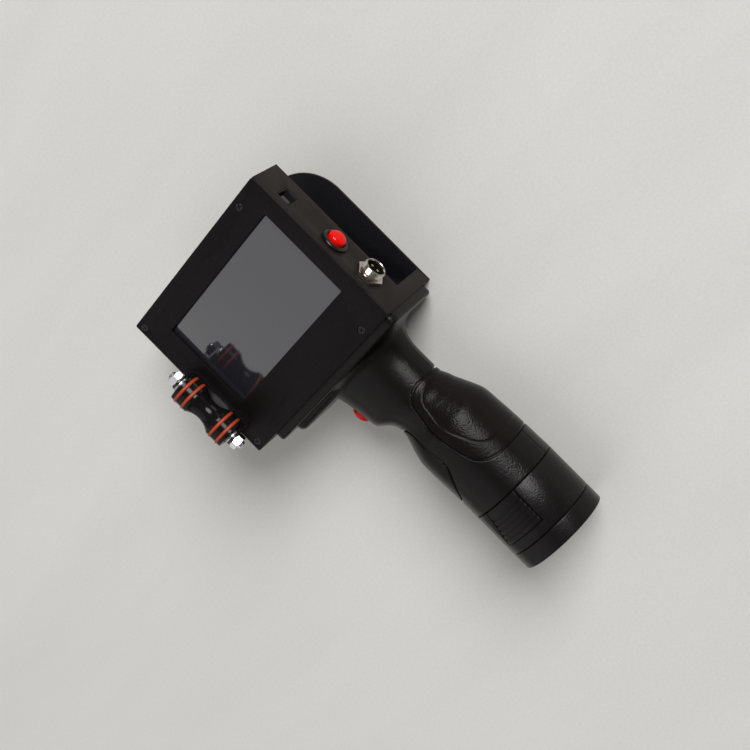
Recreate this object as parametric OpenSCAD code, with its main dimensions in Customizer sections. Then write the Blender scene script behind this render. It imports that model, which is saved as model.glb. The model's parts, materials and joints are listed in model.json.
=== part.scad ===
// Handheld date code inkjet printer, lying on its flat back plate with the screen up.
// Origin: centre of the back plate's underside. +Z is the screen's normal, +X the side with the
// data port, power button and charging socket, -X the print side, -Y the grip and battery end.
// All sizes are in millimetres.

/* [Head] */
// Length of the head from the socket side to the print side
head_x = 120; // [114:1:150]
// Height of the head from the grip to its free end
head_y = 96; // [92:1:120]
// Depth of the electronics case between the bay and the screen panel
case_z = 25; // [24:0.5:36]
// Depth of the cartridge bay
bay_z = 27; // [26.5:0.5:33]
// Width of the end block between the bay and the grip
end_block_y = 8.5; // [8:0.5:12]
// Thickness of the sheet metal
sheet = 1.5; // [1:0.1:2]
// Radius of the back plate's large corner
back_corner_r = 28.5; // [12:0.5:34]

/* [Screen] */
// Length of the screen window
screen_x = 95; // [80:1:98]
// Height of the screen window
screen_y = 54.7; // [46:0.1:60]
// Shift of the window towards the socket side
screen_shift_x = 3; // [0:0.5:4]
// Shift of the window towards the free end
screen_shift_y = 4; // [0:0.5:5]
// Thickness of the cover glass
glass_t = 1.2; // [0.7:0.1:2]

/* [Sockets and button] */
// Height of the row of sockets above the floor of the electronics case
socket_rise = 11.7; // [11:0.1:12]
// Place of the data port along the head
port_y = 30; // [28:0.5:32]
// Place of the power button along the head
button_y = -2.5; // [-5:0.5:0]
// Place of the charging socket along the head
charge_y = -26.5; // [-28:0.5:-24]
// Radius of the power button's cap
button_r = 5; // [4:0.1:5.2]
// How far the cap stands out of the side face
button_proud = 5.5; // [4.5:0.1:7]
// Travel of the power button
button_travel = 2; // [1:0.1:2.4]
// Thread radius of the charging socket
charge_r = 6; // [5:0.1:6.5]
// How far the charging socket stands out of the side face
charge_proud = 7; // [5:0.5:9]

/* [Ink cartridge] */
// Height of the cartridge from nozzles to lid
cartridge_x = 66; // [58:1:72]
// Width of the cartridge
cartridge_y = 74.5; // [66:0.5:75]
// Thickness of the cartridge
cartridge_z = 25; // [22:0.5:26]
// Running gap round the cartridge
cartridge_gap = 0.5; // [0.3:0.1:0.8]

/* [Guide roller] */
// Outer radius of the roller body
roller_r = 8.7; // [7:0.1:9.5]
// Radius of the roller's waist
waist_r = 6; // [5.2:0.1:6.8]
// Length of the roller body
roller_len = 37; // [34:1:48]
// Radius of the roller's shaft
shaft_r = 2.5; // [2:0.1:3]
// Height of the roller's axis above the screen side
roller_rise = 12; // [11.6:0.1:15]
// Distance of the roller's axis from the print side
roller_inset = 4; // [3.5:0.1:5]
// Place of the roller's middle along the head
roller_y = -13.2; // [-16:0.1:-8]
// Thickness of an O-ring
ring_t = 2; // [1.6:0.1:2.4]

/* [Grip] */
// Length of the grip from the head to the battery seam
grip_len = 106; // [98:1:130]
// Thickness of the mounting flange
flange_t = 5.4; // [4.5:0.1:7]
// Wall of the grip shells
grip_wall = 2.5; // [2:0.1:3]
// Centre of the neck along X
neck_x = 13.7; // [11:0.1:16]
// Half width of the neck at the trigger
neck_half_x = 25; // [23:0.5:28]
// Half thickness of the neck
neck_half_z = 18.2; // [17.6:0.2:20]
// Half width of the waist behind the trigger
waist_half_x = 20.3; // [19.5:0.1:23]
// Depth of the grooves that the soft pads sit in
pad_depth = 1.2; // [0.8:0.1:1.4]
// Width of the groove round a pad
pad_groove = 0.8; // [0.4:0.1:1.2]

/* [Trigger] */
// Radius of the trigger button
trigger_r = 6; // [5:0.1:6.4]
// How far the trigger stands out of the grip
trigger_proud = 2.1; // [1.8:0.1:3]
// Travel of the trigger
trigger_travel = 1.5; // [0.8:0.1:1.8]

/* [Battery] */
// Radius of the battery pack
battery_r = 26.5; // [26:0.1:29]
// Length of the pack's outer shell
battery_len = 37.5; // [36:0.5:46]
// Centre of the battery along X
battery_x = 25.4; // [22:0.1:28]
// Radius of one cell
cell_r = 9.1; // [8.9:0.1:9.2]
// Length of one cell
cell_len = 65; // [60:0.5:65]
// Length of a release tab
tab_len = 21; // [18:0.5:24]
// Half width of a release tab at the seam
tab_half = 9.8; // [8:0.1:11]
// How far a tab's print-side edge leans out towards its root
tab_slant = 6.5; // [0:0.5:7]

/* [Hidden] */
$fn = 48;

fit = 0.05;          // gap between a screw or a turning part and its hole
seat = 0.1;          // gap between parts that are pushed together by hand
loose = 0.3;         // gap between curved faces on different bodies

// Levels of the head
head_z = 2 * sheet + bay_z + case_z;
case_z0 = sheet + bay_z;
case_floor = case_z0 + sheet;
panel_z0 = head_z - sheet;
socket_face = head_x / 2;
print_face = -head_x / 2;
free_end = head_y / 2;
grip_end = -head_y / 2;
bay_y0 = grip_end + end_block_y;
socket_z = case_floor + socket_rise;

// Screws
screw_r = 1.25;
screw_head_r = 2.4;
post_r = 3;
panel_screw_len = 7;
bracket_screw_len = 9;
back_screw_len = 8;
end_post_r = 3.2;
end_post_h = 10;
cross_len = 2.6;     // cross recess of a screw head
cross_w = 0.44;
cross_depth = 0.7;
screw_sink = 0.15;   // depth of a countersunk head below its face
corner_inset_y = 4.4;
corner_inset_print = 3.5;
corner_inset_socket = 17.3;
corner_places = [
    [print_face + corner_inset_print, free_end - corner_inset_y],
    [socket_face - corner_inset_socket, free_end - corner_inset_y],
    [print_face + corner_inset_print, grip_end + corner_inset_y],
    [socket_face - corner_inset_socket, grip_end + corner_inset_y]
];

// Roller assembly
roller_x = print_face + roller_inset;
roller_z = head_z + roller_rise;
bush_flange = 0.7;
bush_len = 8;
bush_wall = 1.5;
washer_t = 0.8;
ear_in = roller_len / 2 + bush_flange + washer_t + fit;
ear_out = ear_in + sheet;
bracket_half_x = 4.5;
bracket_screw_y = 12;
ring_places = [-15.6, -10.5, 10.5, 15.6];
ring_seat_r = roller_r - ring_t * 0.3;
nut_t = 4;
nut_af = 8;
bracket_places = [for (side = [-1, 1]) [roller_x, roller_y + side * bracket_screw_y]];

// Power button, along X from the side face inwards
bezel_flange_r = button_r + 2.5;
bezel_flange_t = 2;
barrel_in = 10;
spring_room = 3;
cap_len_in = barrel_in - spring_room - button_travel;

// Charging socket, along X from the side face
charge_in = 9;          // length inside the case
charge_wall = 1.1;
charge_nut_t = 2.5;
charge_relief = 1.0;    // width of the groove between the nut and the front thread
charge_root = 0.5;      // depth of that groove
charge_edge = 0.5;
charge_flange_t = 1.5;
charge_thread_x = charge_nut_t + charge_relief;
charge_recess = 4.5;    // from the mouth to the insulator
pin_y = 1.9;
pin_r = 0.78;

// Boards and what stands on them
board_t = 1.6;
port_z = 9.4;
port_w = 9;
port_wall = 0.4;
port_depth = 15.8;
port_setback = 0.3;
tongue = [5.6, 3.2, 2.2];   // width, height and depth below the side face
port_mid_z = socket_z + 1.3;
board_top = port_mid_z - port_z / 2;
board_bottom = board_top - board_t;
board_x0 = print_face + 8;
board_x1 = socket_face - 26;
board_y0 = grip_end + 9;
board_y1 = free_end - 8.5;
board_holes = [for (x = [board_x0 + 4, board_x1 - 4]) for (y = [board_y0 + 4, board_y1 - 4]) [x, y]];
spacer_r = 2.6;
lcd_t = 2.9;
lcd_x = screen_x + 10.5;
lcd_y = screen_y + 12.5;
gasket_t = 0.4;
glass_lap = 4;       // how far the glass reaches under the panel
gasket_clear = 0.5;
glass_z0 = panel_z0 - gasket_t - glass_t;
driver_z = board_top + 5;
// [x, y, width, depth, height] of the chips and sockets on the main board
chips = [[-20, 2, 18, 18, 1.5], [4, 4, 12, 9, 1.2], [4, 18, 12, 9, 1.2], [-24, -26, 22, 5, 2.5]];
// [x, y, radius, height] of the capacitors and of the pillars under the driver board
cans = [
    [board_x0 + 12, -20, 2.2, driver_z - board_top], [board_x0 + 28, -8, 2.2, driver_z - board_top],
    [22, -22, 3.15, 6], [22, -14, 3.15, 6]
];
loom_plug = [8, 6, 5.4];

// Cartridge and its stall
stall_wall = 3.4;
rail_y0 = bay_y0;
contact_rail = 5.5;
cartridge_x0 = print_face + sheet + stall_wall + seat;
cartridge_y0 = rail_y0 + contact_rail + cartridge_gap;
cartridge_y1 = cartridge_y0 + cartridge_y;
cartridge_z0 = sheet + (bay_z - cartridge_z) / 2;
lid_x = 6;
leaf_t = 0.4;
leaf_bump = 0.5;
leaf_x0 = cartridge_x0 + 8;
leaf_len = 42;
leaf_half_z = 4;
bump_x0 = leaf_x0 + 18;
bump_len = 6;
bump_half_z = 3;
free_rail_y0 = cartridge_y1 + leaf_t + leaf_bump + seat;
free_rail = 5;
rail_x1 = cartridge_x0 + cartridge_x + 2;
snout_y = 26;
snout_z = 11;
snout_mid_y = cartridge_y0 + 15.5;
snout_mid_z = cartridge_z0 + cartridge_z / 2;
snout_depth = stall_wall + sheet + seat - 0.7;
nozzle_t = 0.3;
contact_x = 22;
contact_z = 14;
contact_mid_x = cartridge_x0 + 28;
contact_lip = 0.4;
contact_pitch = [2.8, 4];
contact_pin_r = 0.5;
stall_screw_places = [
    for (y = [rail_y0 + contact_rail / 2, free_rail_y0 + free_rail / 2]) [rail_x1 - 12, y]
];
end_screw_places = [for (side = [-1, 1]) [side * (head_x / 2 - 9), grip_end + end_block_y / 2]];

// Flange of the grip
flange_x0 = print_face + 12;
flange_x1 = socket_face - 1.5;
flange_z0 = 3;
flange_z1 = head_z - 3;
grip_z = (flange_z0 + flange_z1) / 2;
flange_screw_r = 1.5;
flange_places = [for (x = [flange_x0 + 7, flange_x1 - 6.5]) for (z = [flange_z0 + 15, flange_z1 - 7]) [x, z]];
plinth_x0 = flange_x0 + 6;
plinth_h = 4.4;
loom_x = neck_x + 3.3;
loom_z = grip_z + 12.4;
wire_r = 0.9;
loom_hole_r = 6;

// Grip outline. Each station is [share of the grip's length, centre X, half X, half Z].
full_z = battery_r - 0.3;
waist_x = battery_x - 3.7;
root = (flange_t - 0.02) / grip_len;
stations = [
    [root, neck_x, neck_half_x + 12, neck_half_z + 5.3],
    [root + 0.009, neck_x, neck_half_x + 8, neck_half_z + 3.6],
    [root + 0.024, neck_x, neck_half_x + 5, neck_half_z + 2],
    [root + 0.050, neck_x, neck_half_x + 2.8, neck_half_z + 0.8],
    [0.165, neck_x, neck_half_x + 0.9, neck_half_z + 0.1],
    [0.230, neck_x + 0.5, neck_half_x, neck_half_z],
    [0.290, neck_x + 0.9, neck_half_x - 0.4, neck_half_z],
    [0.330, neck_x + 1.4, neck_half_x - 1, neck_half_z],
    [0.352, neck_x + 3, neck_half_x - 2.4, neck_half_z + 0.1],
    [0.372, neck_x + 5, waist_half_x + 0.9, neck_half_z + 0.2],
    [0.395, neck_x + 6.9, waist_half_x + 0.2, neck_half_z + 0.4],
    [0.420, waist_x + 0.1, waist_half_x, neck_half_z + 0.7],
    [0.470, waist_x + 1.5, waist_half_x + 1.4, neck_half_z + 1.7],
    [0.520, waist_x + 2.1, waist_half_x + 3.5, neck_half_z + 3.4],
    [0.570, waist_x + 2.3, waist_half_x + 5.3, neck_half_z + 5.3],
    [0.630, waist_x + 2, battery_r - 0.1, full_z - 1.2],
    [0.740, battery_x - 1.1, battery_r - 0.1, full_z - 0.1],
    [0.870, battery_x - 0.4, battery_r - 0.1, full_z + 0.1],
    [1.000, battery_x, battery_r, battery_r]
];
seam_y = grip_end - grip_len;
trigger_y = grip_end - 0.233 * grip_len;
trigger_x = neck_x + 0.5 - neck_half_x;
palm_shares = [0.33, 0.83];   // where the palm pad starts and ends along the grip
finger_share = 0.70;          // where the middle of the finger pad is
finger_len = 44;
screw_boss_r = 3.6;
grip_screw_places = [
    [neck_x - 17, grip_end - 0.105 * grip_len],
    [neck_x + 18, grip_end - 0.105 * grip_len],
    [waist_x + 10, grip_end - 0.42 * grip_len]
];
grip_screw_r = 1.4;
grip_screw_len = 14;
grip_screw_head_r = 2.6;
grip_screw_head_h = 1.9;

// Trigger mechanism, along X from the cap inwards
guide_x0 = trigger_x + grip_wall + 3;
guide_len = 6;
guide_wall = 1.2;
trigger_flange = 1;
trigger_stem_r = 2;
switch_gap = trigger_travel + 1;
switch_x0 = guide_x0 + guide_len + trigger_flange + switch_gap;
switch_x = 10;
switch_y = 18;
switch_z = 10;
stem_depth = 4.5;
switch_foot = neck_half_z - grip_wall - 0.55;

// Battery pack
battery_wall = 2.2;
stick_r = 2 / sqrt(3) * cell_r + cell_r + 1.4;
stick_wall = 1.1;
cap_len = 10.5;
cells_y0 = seam_y - battery_len + battery_wall + 3.2;
cells_y1 = cells_y0 + cell_len;
stick_y1 = cells_y1 + 2.2;
stick_x = battery_x - 0.9;
cell_places = [for (i = [0:2]) 2 / sqrt(3) * cell_r * 1.01 * [cos(90 + 120 * i), sin(90 + 120 * i)]];
block_y0 = stick_y1 + 0.6;
block_len = 6;
block_r = 16;
block_wing = full_z - 1.2 - grip_wall - 1;
blade_places = [-7, 0, 7];
blade_t = 0.9;
blade_z = 5;
tab_t = 2;
tab_gap = 0.7;
tab_shift = 1.5;         // of the tab's middle from the pack's axis
rib_count = 5;           // grooves across a tab
rib_pitch = 3;
rib_w = 0.9;
rib_depth = 0.6;
tab_pivot_y = seam_y - tab_len;

// ---------- shared shapes ----------

module box(x0, x1, y0, y1, z0, z1) {
    translate([x0, y0, z0]) cube([x1 - x0, y1 - y0, z1 - z0]);
}

// Cylinder lying along X or along Y, between two places on that axis
module rod_x(x0, x1, y, z, r) {
    translate([x0, y, z]) rotate([0, 90, 0]) cylinder(h = x1 - x0, r = r);
}

module rod_y(y0, y1, x, z, r) {
    translate([x, y1, z]) rotate([90, 0, 0]) cylinder(h = y1 - y0, r = r);
}

// Hexagonal nut blank, width across flats, along +Z
module hexagon(across, h) {
    cylinder(h = h, r = across / sqrt(3), $fn = 6);
}

module round_rect(w, h, r) {
    square([w - 2 * r, h], center = true);
    square([w, h - 2 * r], center = true);
    for (x = [-1, 1], y = [-1, 1])
        translate([x * (w / 2 - r), y * (h / 2 - r)]) circle(r);
}

// Countersunk screw whose head's top is at z = 0 and whose shank points down
module countersunk(len, grow = 0) {
    head_h = screw_head_r - screw_r;
    translate([0, 0, -head_h]) cylinder(h = head_h, r1 = screw_r + grow, r2 = screw_head_r + grow);
    translate([0, 0, -len]) cylinder(h = len - head_h + 0.01, r = screw_r + grow);
}

module countersunk_hole(len) {
    translate([0, 0, -screw_sink]) {
        countersunk(len, fit);
        translate([0, 0, -0.01]) cylinder(h = 1, r = screw_head_r + fit);
    }
}

// Wire spring along +X: a helical tube of eight sides
module wire_spring(len, mean_r, wire, turns) {
    sides = 8;
    per_turn = 14;
    rows = turns * per_turn;
    points = [
        for (i = [0:rows])
            let (turn = 360 * i / per_turn, along = wire + (len - 2 * wire) * i / rows)
            for (k = [0:sides - 1])
                let (a = 360 * k / sides, r = mean_r + wire * cos(a))
                [along + wire * sin(a), r * cos(turn), r * sin(turn)]
    ];
    walls = [
        for (i = [0:rows - 1], k = [0:sides - 1])
            let (a = i * sides + k, b = i * sides + (k + 1) % sides)
            each [[a, b, b + sides], [a, b + sides, a + sides]]
    ];
    first = [[for (k = [sides - 1:-1:0]) k]];
    last = [[for (k = [0:sides - 1]) rows * sides + k]];
    polyhedron(points = points, faces = concat(walls, first, last));
}

// ---------- head ----------

module front_panel() {
    color("#1e1b1c")
    difference() {
        translate([0, 0, panel_z0]) linear_extrude(sheet) round_rect(head_x, head_y, 1);
        translate([screen_shift_x, screen_shift_y, panel_z0 - 1])
            linear_extrude(sheet + 2) round_rect(screen_x, screen_y, 0.8);
        for (p = corner_places)
            translate([p[0], p[1], head_z]) countersunk_hole(panel_screw_len);
        for (p = bracket_places)
            translate([p[0], p[1], panel_z0 - 1]) cylinder(h = sheet + 2, r = screw_r + fit);
    }
}

module screen_gasket() {
    color("#101010")
    translate([screen_shift_x, screen_shift_y, panel_z0 - gasket_t])
    difference() {
        linear_extrude(gasket_t) square([screen_x + 2 * glass_lap, screen_y + 2 * glass_lap], center = true);
        translate([0, 0, -1]) linear_extrude(gasket_t + 2)
            square([screen_x + 2 * gasket_clear, screen_y + 2 * gasket_clear], center = true);
    }
}

module screen_glass() {
    color("#3c3e40")
    translate([screen_shift_x, screen_shift_y, glass_z0])
        linear_extrude(glass_t) round_rect(screen_x + 2 * glass_lap, screen_y + 2 * glass_lap, 1);
}

module lcd_module() {
    color("#55585a")
    translate([screen_shift_x, screen_shift_y, glass_z0 - lcd_t]) {
        linear_extrude(lcd_t) square([lcd_x, lcd_y], center = true);
        translate([-lcd_x / 2 + 3, -lcd_y / 2 - 3, 0.5]) cube([30, 3.5, 1]);
    }
}

module head_outer() {
    box(print_face, socket_face, grip_end, free_end, case_z0, panel_z0);
    box(print_face, socket_face, grip_end, bay_y0, sheet, case_z0 + 0.01);
}

module head_inner() {
    box(print_face + sheet, socket_face - sheet, grip_end + sheet, free_end - sheet,
        case_floor, panel_z0 + 1);
    box(print_face + sheet, socket_face - sheet, grip_end + sheet, bay_y0 - sheet,
        2 * sheet, case_floor + 1);
}

module head_housing() {
    color("#2b2927")
    difference() {
        union() {
            difference() {
                head_outer();
                head_inner();
            }
            intersection() {
                union() {
                    for (p = concat(corner_places, bracket_places))
                        translate([p[0], p[1], case_z0]) cylinder(h = panel_z0 - case_z0, r = post_r);
                    for (p = end_screw_places)
                        translate([p[0], p[1], sheet]) cylinder(h = end_post_h, r = end_post_r);
                }
                head_outer();
            }
        }
        for (p = corner_places)
            translate([p[0], p[1], head_z]) countersunk_hole(panel_screw_len + 1);
        for (p = bracket_places)
            translate([p[0], p[1], head_z - bracket_screw_len]) cylinder(h = 9, r = screw_r + fit);
        for (p = end_screw_places)
            translate([p[0], p[1], 0]) cylinder(h = back_screw_len + 1, r = screw_r + fit);
        for (p = stall_screw_places)
            translate([p[0], p[1], case_z0 - 1]) cylinder(h = sheet + 2, r = screw_r + fit);
        for (p = flange_places)
            rod_y(grip_end - 1, grip_end + sheet + 1, p[0], p[1], flange_screw_r + fit);
        rod_y(grip_end - 1, grip_end + sheet + 1, loom_x, loom_z, loom_hole_r);
        rod_x(socket_face - sheet - 1, socket_face + 1, button_y, socket_z, button_r + 1 + fit);
        rod_x(socket_face - sheet - 1, socket_face + 1, charge_y, socket_z, charge_r + fit);
        box(socket_face - sheet - 1, socket_face + 1, port_y - port_w / 2 - seat,
            port_y + port_w / 2 + seat, board_top - seat, board_top + port_z + seat);
    }
}

module back_plate() {
    color("#211f1e")
    difference() {
        linear_extrude(sheet) back_outline();
        for (p = concat(end_screw_places, stall_screw_places))
            translate([p[0], p[1], 0]) mirror([0, 0, 1]) countersunk_hole(back_screw_len);
    }
}

// Rectangle with one large and one small round corner at the free end
module back_outline() {
    small = 3;
    difference() {
        translate([print_face, grip_end]) square([head_x, head_y]);
        translate([socket_face - back_corner_r, free_end - back_corner_r])
            square(back_corner_r + 1);
        translate([print_face - 1, free_end - small]) square([small + 1, small + 1]);
    }
    translate([socket_face - back_corner_r, free_end - back_corner_r]) circle(back_corner_r);
    translate([print_face + small, free_end - small]) circle(small);
}

module print_face_plate() {
    color("#242221")
    difference() {
        box(print_face, print_face + sheet, bay_y0, free_end, sheet, case_z0);
        snout(1.2, sheet + stall_wall + 3);
    }
}

module panel_screws() {
    color("#3a3a3c")
    for (p = corner_places) translate([p[0], p[1], head_z - screw_sink]) driven_screw(panel_screw_len);
}

// Countersunk screw with a cross recess
module driven_screw(len) {
    difference() {
        countersunk(len);
        for (a = [0, 90]) rotate(a)
            translate([-cross_len / 2, -cross_w / 2, -cross_depth]) cube([cross_len, cross_w, 1]);
    }
}

module back_plate_screws() {
    color("#3a3a3c")
    for (p = concat(end_screw_places, stall_screw_places))
        translate([p[0], p[1], screw_sink]) mirror([0, 0, 1]) driven_screw(back_screw_len);
}

// ---------- boards ----------

module main_board() {
    color("#1d5b34")
    difference() {
        union() {
            box(board_x0, board_x1, board_y0, board_y1, board_bottom, board_top);
            box(board_x1 - 1, socket_face - 3, port_y - 9, board_y1, board_bottom, board_top);
        }
        for (p = board_holes)
            translate([p[0], p[1], board_bottom - 1]) cylinder(h = board_t + 2, r = screw_r + fit);
    }
}

module board_chips() {
    color("#222426")
    translate([0, 0, board_top]) {
        for (c = chips) translate([c[0], c[1], 0]) cube([c[2], c[3], c[4]]);
        for (c = cans) translate([c[0], c[1], 0]) cylinder(h = c[3], r = c[2]);
        translate([loom_x - loom_plug[0] / 2, board_y0, 0]) cube(loom_plug);
    }
}

module board_spacers() {
    color("#b9a15c")
    for (p = board_holes)
        translate([p[0], p[1], case_floor]) difference() {
            cylinder(h = board_bottom - case_floor, r = spacer_r);
            translate([0, 0, 1]) cylinder(h = board_bottom, r = screw_r + fit);
        }
}

module board_screws() {
    color("#c8c8c8")
    for (p = board_holes)
        translate([p[0], p[1], board_top]) {
            cylinder(h = 1.6, r = 2.3);
            translate([0, 0, -board_t - 4]) cylinder(h = board_t + 4.01, r = screw_r);
        }
}

module driver_board() {
    color("#1b4f8a")
    translate([board_x0 + 6, -30, driver_z]) cube([28, 30, 1.2]);
}

// ---------- sockets and power button ----------

module data_port_shell() {
    color("#8d8f90")
    translate([0, port_y - port_w / 2, board_top]) {
        difference() {
            translate([socket_face - port_depth, 0, 0])
                cube([port_depth - port_setback, port_w, port_z]);
            translate([socket_face - port_depth + port_wall, port_wall, port_wall])
                cube([port_depth, port_w - 2 * port_wall, port_z - 2 * port_wall]);
        }
    }
}

module data_port_tongue() {
    color("#e8e6e0")
    box(socket_face - port_depth + port_wall, socket_face - tongue[2],
        port_y - tongue[0] / 2, port_y + tongue[0] / 2,
        port_mid_z - tongue[1] / 2, port_mid_z + tongue[1] / 2);
}

module power_button_cap() {
    color("#e61910")
    translate([socket_face - cap_len_in, button_y, socket_z]) rotate([0, 90, 0]) {
        top = cap_len_in + button_proud;
        dome = 1.2;
        rotate_extrude()
            polygon(concat(
                [[0, 0], [button_r, 0], [button_r, top - dome]],
                [for (a = [15:15:90]) [(button_r - dome) + dome * cos(a), top - dome + dome * sin(a)]],
                [[0, top]]));
    }
}

module power_button_bezel() {
    color("#161616")
    translate([socket_face, button_y, socket_z]) rotate([0, 90, 0]) difference() {
        union() {
            cylinder(h = bezel_flange_t - 0.6, r = bezel_flange_r);
            translate([0, 0, bezel_flange_t - 0.61])
                cylinder(h = 0.61, r1 = bezel_flange_r, r2 = bezel_flange_r - 0.7);
            translate([0, 0, -barrel_in]) cylinder(h = barrel_in + 0.01, r = button_r + 1);
        }
        translate([0, 0, -barrel_in - 1])
            cylinder(h = barrel_in + bezel_flange_t + 2, r = button_r + fit);
    }
}

module power_button_nut() {
    color("#c9c9cb")
    translate([socket_face - sheet - 3, button_y, socket_z]) rotate([0, 90, 0]) difference() {
        rotate(30) hexagon(2 * button_r + 4, 3);
        translate([0, 0, -1]) cylinder(h = 5, r = button_r + 1 + fit);
    }
}

module power_switch_body() {
    color("#202020")
    union() {
        rod_x(socket_face - barrel_in - 10, socket_face - barrel_in, button_y, socket_z, button_r + 0.8);
        for (y = [-2.5, 2.5])
            box(socket_face - barrel_in - 14, socket_face - barrel_in - 9.9,
                button_y + y - 0.4, button_y + y + 0.4, socket_z - 1.5, socket_z + 1.5);
    }
}

module power_button_spring() {
    color("#d0d0d0")
    translate([socket_face - barrel_in, button_y, socket_z])
        wire_spring(barrel_in - cap_len_in, button_r - 1.6, 0.3, 4);
}

module charge_socket_shell() {
    color("#c9b89a")
    translate([socket_face, charge_y, socket_z]) rotate([0, 90, 0]) difference() {
        union() {
            translate([0, 0, -charge_in]) cylinder(h = charge_in + charge_nut_t, r = charge_r);
            translate([0, 0, charge_nut_t - 0.01])
                cylinder(h = charge_relief + 0.02, r = charge_r - charge_root);
            translate([0, 0, charge_thread_x])
                cylinder(h = charge_proud - charge_edge - charge_thread_x, r = charge_r);
            translate([0, 0, charge_proud - charge_edge - 0.01])
                cylinder(h = charge_edge + 0.01, r1 = charge_r, r2 = charge_r - charge_edge);
            translate([0, 0, -sheet - charge_flange_t]) cylinder(h = charge_flange_t, r = charge_r + 1.4);
        }
        translate([0, 0, -charge_in - 1]) cylinder(h = charge_in + charge_proud + 2, r = charge_r - charge_wall);
    }
}

module charge_socket_nut() {
    color("#cdbfa6")
    translate([socket_face, charge_y, socket_z]) rotate([0, 90, 0]) difference() {
        hexagon(2 * charge_r + 2, charge_nut_t);
        translate([0, 0, -1]) cylinder(h = charge_nut_t + 2, r = charge_r + fit);
    }
}

module charge_socket_insulator() {
    color("#17110f")
    difference() {
        rod_x(socket_face - charge_in, socket_face + charge_proud - charge_recess, charge_y, socket_z,
            charge_r - charge_wall - fit);
        for (side = [-1, 1])
            rod_x(socket_face - charge_in - 1, socket_face + charge_proud, charge_y + side * pin_y,
                socket_z, pin_r + 0.02);
    }
}

module charge_socket_pins() {
    color("#e0c070")
    for (side = [-1, 1])
        rod_x(socket_face - charge_in - 3, socket_face + charge_proud - 1, charge_y + side * pin_y,
            socket_z, pin_r);
}

// ---------- ink cartridge ----------

// Nose of the cartridge, grown by a gap and cut through a length towards the print side
module snout(grow, depth) {
    box(cartridge_x0 - depth, cartridge_x0 + 1,
        snout_mid_y - snout_y / 2 - grow, snout_mid_y + snout_y / 2 + grow,
        snout_mid_z - snout_z / 2 - grow, snout_mid_z + snout_z / 2 + grow);
}

module cartridge_stall() {
    color("#33363a")
    difference() {
        union() {
            box(print_face + sheet, cartridge_x0 - seat, rail_y0, free_rail_y0 + free_rail, sheet, case_z0);
            box(print_face + sheet, rail_x1, rail_y0, rail_y0 + contact_rail, sheet, case_z0);
            box(print_face + sheet, rail_x1, free_rail_y0, free_rail_y0 + free_rail, sheet, case_z0);
        }
        snout(1, sheet + stall_wall + 3);
        for (p = stall_screw_places)
            translate([p[0], p[1], 0]) cylinder(h = 9, r = screw_r + fit);
        box(contact_mid_x - contact_x / 2 - seat, contact_mid_x + contact_x / 2 + seat,
            rail_y0 + contact_rail - 2 - seat, rail_y0 + contact_rail + 1,
            snout_mid_z - contact_z / 2 - seat, snout_mid_z + contact_z / 2 + seat);
        box(leaf_x0 - seat, leaf_x0 + leaf_len + seat, free_rail_y0 - 1, free_rail_y0 + leaf_t / 2,
            snout_mid_z - leaf_half_z - seat, snout_mid_z + leaf_half_z + seat);
    }
}

module contact_block() {
    color("#1a1a1a")
    box(contact_mid_x - contact_x / 2, contact_mid_x + contact_x / 2,
        rail_y0 + contact_rail - 2, rail_y0 + contact_rail,
        snout_mid_z - contact_z / 2, snout_mid_z + contact_z / 2);
}

module contact_pins() {
    color("#e2c36b")
    for (i = [-3:3], k = [-1:1])
        rod_y(rail_y0 + contact_rail, rail_y0 + contact_rail + contact_lip,
            contact_mid_x + i * contact_pitch[0], snout_mid_z + k * contact_pitch[1], contact_pin_r);
}

module cartridge_body() {
    color("#2a2c30")
    union() {
        box(cartridge_x0, cartridge_x0 + cartridge_x - lid_x, cartridge_y0, cartridge_y1,
            cartridge_z0, cartridge_z0 + cartridge_z);
        snout(0, snout_depth);
    }
}

module cartridge_lid() {
    color("#2f7d4a")
    union() {
        box(cartridge_x0 + cartridge_x - lid_x, cartridge_x0 + cartridge_x - 2, cartridge_y0,
            cartridge_y1, cartridge_z0, cartridge_z0 + cartridge_z);
        box(cartridge_x0 + cartridge_x - 2.01, cartridge_x0 + cartridge_x, cartridge_y0 + 4,
            cartridge_y1 - 4, cartridge_z0 + 3, cartridge_z0 + cartridge_z - 3);
    }
}

module cartridge_nozzle_plate() {
    color("#c8a35a")
    box(cartridge_x0 - snout_depth - nozzle_t, cartridge_x0 - snout_depth,
        snout_mid_y - snout_y / 2 + 1, snout_mid_y + snout_y / 2 - 1,
        snout_mid_z - snout_z / 2 + 1, snout_mid_z + snout_z / 2 - 1);
}

module retaining_spring() {
    color("#b8bcc0")
    union() {
        box(leaf_x0, leaf_x0 + leaf_len, free_rail_y0 - leaf_t / 2, free_rail_y0 + leaf_t / 2,
            snout_mid_z - leaf_half_z, snout_mid_z + leaf_half_z);
        box(bump_x0, bump_x0 + bump_len, cartridge_y1 + seat, free_rail_y0,
            snout_mid_z - bump_half_z, snout_mid_z + bump_half_z);
    }
}

// ---------- guide roller ----------

module roller_bracket() {
    color("#1b1a1a")
    difference() {
        translate([roller_x, roller_y, head_z]) {
            translate([-roller_inset, -ear_out, 0])
                cube([roller_inset + bracket_half_x, 2 * ear_out, sheet]);
            for (side = [-1, 1])
                translate([0, side > 0 ? ear_out : -ear_in, 0]) rotate([90, 0, 0]) linear_extrude(sheet) {
                    translate([0, roller_rise]) circle(bracket_half_x);
                    translate([-roller_inset, 0]) square([roller_inset + bracket_half_x, 2]);
                    translate([-roller_inset, 0]) square([roller_inset + bracket_half_x, roller_rise]);
                }
        }
        rod_y(roller_y - ear_out - 1, roller_y + ear_out + 1, roller_x, roller_z, shaft_r + fit);
        for (p = bracket_places) translate([p[0], p[1], head_z + sheet]) countersunk_hole(bracket_screw_len);
    }
}

module bracket_screws() {
    color("#2c2c2e")
    for (p = bracket_places) translate([p[0], p[1], head_z + sheet - screw_sink]) driven_screw(bracket_screw_len);
}

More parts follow.
